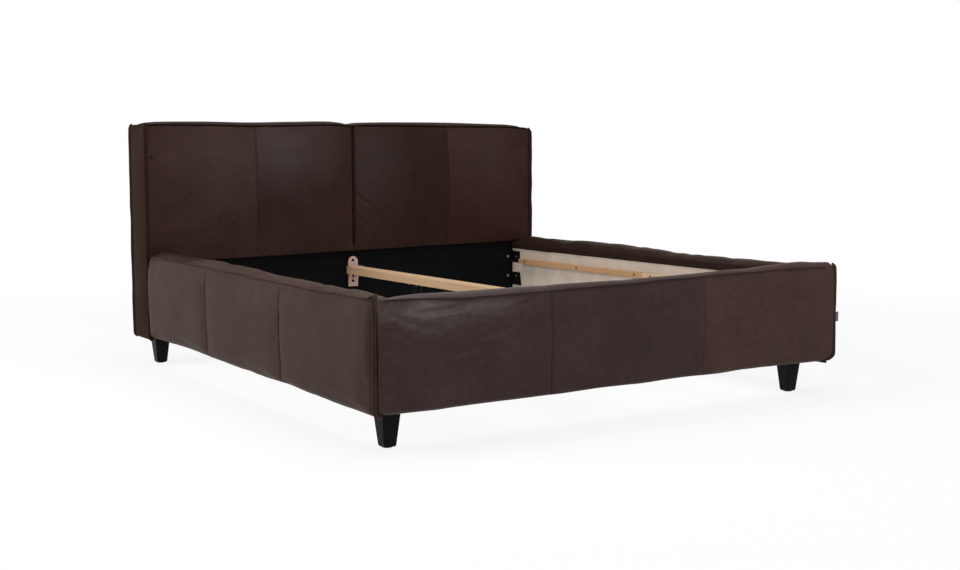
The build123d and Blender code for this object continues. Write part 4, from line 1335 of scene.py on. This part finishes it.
x = np.arange(-foot_end + 0.01, foot_end - 0.01, LIP_STEP)
places = np.stack([x, np.full_like(x, foot_front + SEAM_SINK), foot_heights[0](x)], 1)
seam_lip("foot_lip", places, (0, -0.75, 0.65), TOP_LIP, 71, leather_mid)
for place, y, ahead in (("front", pad_front + 0.001, -0.7), ("rear", back_seam - 0.001, 0.7)):
    x = np.arange(*head_across, LIP_STEP)
    places = np.stack([x, 0 * x + y, head_height - 0.002 + upper_edge(x)], 1)
    seed = 73 + int(ahead > 0)
    seam_lip(f"head_top_lip_{place}", places, (0, ahead, 0.7), 0.7 * TOP_LIP, seed, leather_side)

welt_y = panel_front - SKIN_GAP - 0.006
welt_line = straight((0, welt_y, pad_up[0] + CHANNEL_CLOSED), (0, welt_y, pad_up[1] + 0.004))
welt_out = np.broadcast_to((0.0, -1.0, 0.0), welt_line.shape)
welt = strip_object("head_welt", welt_line, welt_out, WELT_WIDTH, WELT_LEAF, leather_right, 77)
fixed(welt, ("head_centre_welt",))

tag_low, tag_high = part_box("label_tag")
tag_root = (foot_end + FOOT_FLARE["right"] + 0.006, foot_front - 0.001)
tag_line = straight((*tag_root, tag_low.z + TAG_RISE[0]), (*tag_root, tag_high.z + TAG_RISE[1]), TAG_STEP)
tag_out = np.broadcast_to((FLANGE_LEAN["right"][0], -FLANGE_LEAN["right"][1], 0.0), tag_line.shape)
tape = FINISHES["tag_cloth"]
tag = strip_object("tag", tag_line, tag_out, TAG_REACH, TAG_LEAF, tape, 79, TAG_FOLD, False)
fixed(tag, ("label_tag",))


# Cloth on the inside


def cloth_sheet(name, across, up, edges, world, material, replaced):
    """A sheet stapled flat against a board."""
    skin = pad_skin(across, up, CLOTH_THICK, CLOTH_ROLL, 0, world, (), edges)
    sheet = leather_object(name, [skin], [material])
    fixed(sheet, (replaced,))


def foot_inner_world(a, u, out):
    """Inner face of the footboard."""
    return np.stack([a, foot_inner - LINING_SINK + out, u], -1)


cloth_low, cloth_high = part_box("head_cloth")
cloth_sheet(
    "head_front_cloth", (cloth_low.x, cloth_high.x), (cloth_low.z, pad_up[0] - 0.0008),
    (flat_edge, lower_edge), head_world, black_felt, "head_cloth",
)
lining_up = (board_low + 0.001, SKIRT_EDGE + 0.010)
cloth_sheet(
    "foot_inner_lining", (-inner_half, inner_half), lining_up, None, foot_inner_world, beige_felt,
    "foot_lining",
)
for name, side in SIDES.items():
    inner_face = side_world(side, inner_half + LINING_SINK, -1)
    cloth_sheet(
        f"rail_inner_lining_{name}", (foot_inner + 0.002, head_face - 0.001), lining_up, None,
        inner_face, beige_felt, f"rail_lining_{name}",
    )


# Stage


def area_lamp(name, place, target, size, watts):
    """A soft rectangular lamp that points at a place."""
    data = bpy.data.lights.new(name, "AREA")
    data.shape = "RECTANGLE"
    data.size, data.size_y = size
    data.energy = watts
    lamp = bpy.data.objects.new(name, data)
    lamp.location = place
    lamp.rotation_euler = (Vector(target) - Vector(place)).to_track_quat("-Z", "Y").to_euler()
    bpy.context.scene.collection.objects.link(lamp)


area_lamp("lamp_left", (-5.2, 1.0, 3.0), (0, 0, 0.5), (3.6, 3.0), 215)
area_lamp("lamp_top", (0.0, -0.4, 4.6), (0, 0, 0), (4.5, 4.5), 175)
area_lamp("lamp_front", (1.0, -6.5, 3.0), (0, 0, 0.5), (4.0, 2.5), 128)


def seen_directly(tree):
    """1 for rays from the camera and for mirror and glass rays, and 0 for light that is gathered."""
    path = node(tree, "LightPath").outputs
    either = worked_out(tree, "MAXIMUM", path["Is Camera Ray"], path["Is Glossy Ray"])
    return worked_out(tree, "MAXIMUM", either, path["Is Transmission Ray"])


AMBIENT = 0.18
FLOOR_GLOW = 0.84  # share of a floor that is white by itself, so that shadows stay faint
FLOOR_NEAR = 1.8
FLOOR_FAR = 4.5


def white_world():
    """White where it is seen, and an even grey as light."""
    world = bpy.data.worlds.new("studio")
    world.use_nodes = True
    tree = world.node_tree
    background = tree.nodes["Background"]
    strength = levels(tree, seen_directly(tree), AMBIENT, 1.0)
    feed(tree, background, Color=(1, 1, 1, 1), Strength=strength)
    bpy.context.scene.world = world


def white_floor():
    """A floor that looks white and keeps a faint shadow."""
    mesh = bpy.data.meshes.new("floor")
    reach = 30.0
    corners = [(-reach, -reach, 0), (reach, -reach, 0), (reach, reach, 0), (-reach, reach, 0)]
    mesh.from_pydata(corners, [], [(0, 1, 2, 3)])
    material = bpy.data.materials.new("floor_white")
    material.use_nodes = True
    tree = material.node_tree
    tree.nodes.remove(tree.nodes["Principled BSDF"])
    matte = node(tree, "BsdfDiffuse", Color=(0.86, 0.86, 0.86, 1)).outputs["BSDF"]
    glow = node(tree, "Emission", Color=(1, 1, 1, 1), Strength=1.0).outputs["Emission"]
    place = node(tree, "TexCoord").outputs["Object"]
    distance = worked_out(tree, "LENGTH", place, kind="VectorMath")
    glow_share = levels(tree, distance, FLOOR_GLOW, 1.0, FLOOR_NEAR, FLOOR_FAR)
    mix = node(tree, "MixShader", Fac=worked_out(tree, "MULTIPLY", glow_share, seen_directly(tree)))
    put(tree, mix.inputs[1], matte)
    put(tree, mix.inputs[2], glow)
    feed(tree, tree.nodes["Material Output"], Surface=mix.outputs["Shader"])
    mesh.materials.append(material)
    floor = bpy.data.objects.new("floor", mesh)
    bpy.context.scene.collection.objects.link(floor)


CAMERA_PLACE = (-2.8929, -4.7197, 0.9291)
CAMERA_YAW = 34.496
CAMERA_PITCH = 5.027
CAMERA_ROLL = -0.02
CAMERA_SHIFT = (-0.05072, -0.01434)
IMAGE_WIDTH = 960
FOCAL_PIXELS = 1338.9
SENSOR = 36.0


def photo_camera():
    """The camera that was fitted to the photo's straight edges."""
    yaw, pitch, roll = (math.radians(angle) for angle in (CAMERA_YAW, CAMERA_PITCH, CAMERA_ROLL))
    forward = Vector((math.sin(yaw) * math.cos(pitch), math.cos(yaw) * math.cos(pitch), -math.sin(pitch)))
    level = Vector((math.cos(yaw), -math.sin(yaw), 0))
    upright = level.cross(forward)
    right = level * math.cos(roll) + upright * math.sin(roll)
    up = upright * math.cos(roll) - level * math.sin(roll)
    data = bpy.data.cameras.new("camera")
    data.sensor_fit = "HORIZONTAL"
    data.sensor_width = SENSOR
    data.lens = FOCAL_PIXELS * SENSOR / IMAGE_WIDTH
    data.shift_x, data.shift_y = CAMERA_SHIFT
    camera = bpy.data.objects.new("camera", data)
    turned = Matrix((right, up, -forward)).transposed().to_4x4()
    camera.matrix_world = Matrix.Translation(CAMERA_PLACE) @ turned
    bpy.context.scene.collection.objects.link(camera)
    bpy.context.scene.camera = camera


white_world()
white_floor()
photo_camera()
bpy.context.scene.view_settings.view_transform = "Standard"
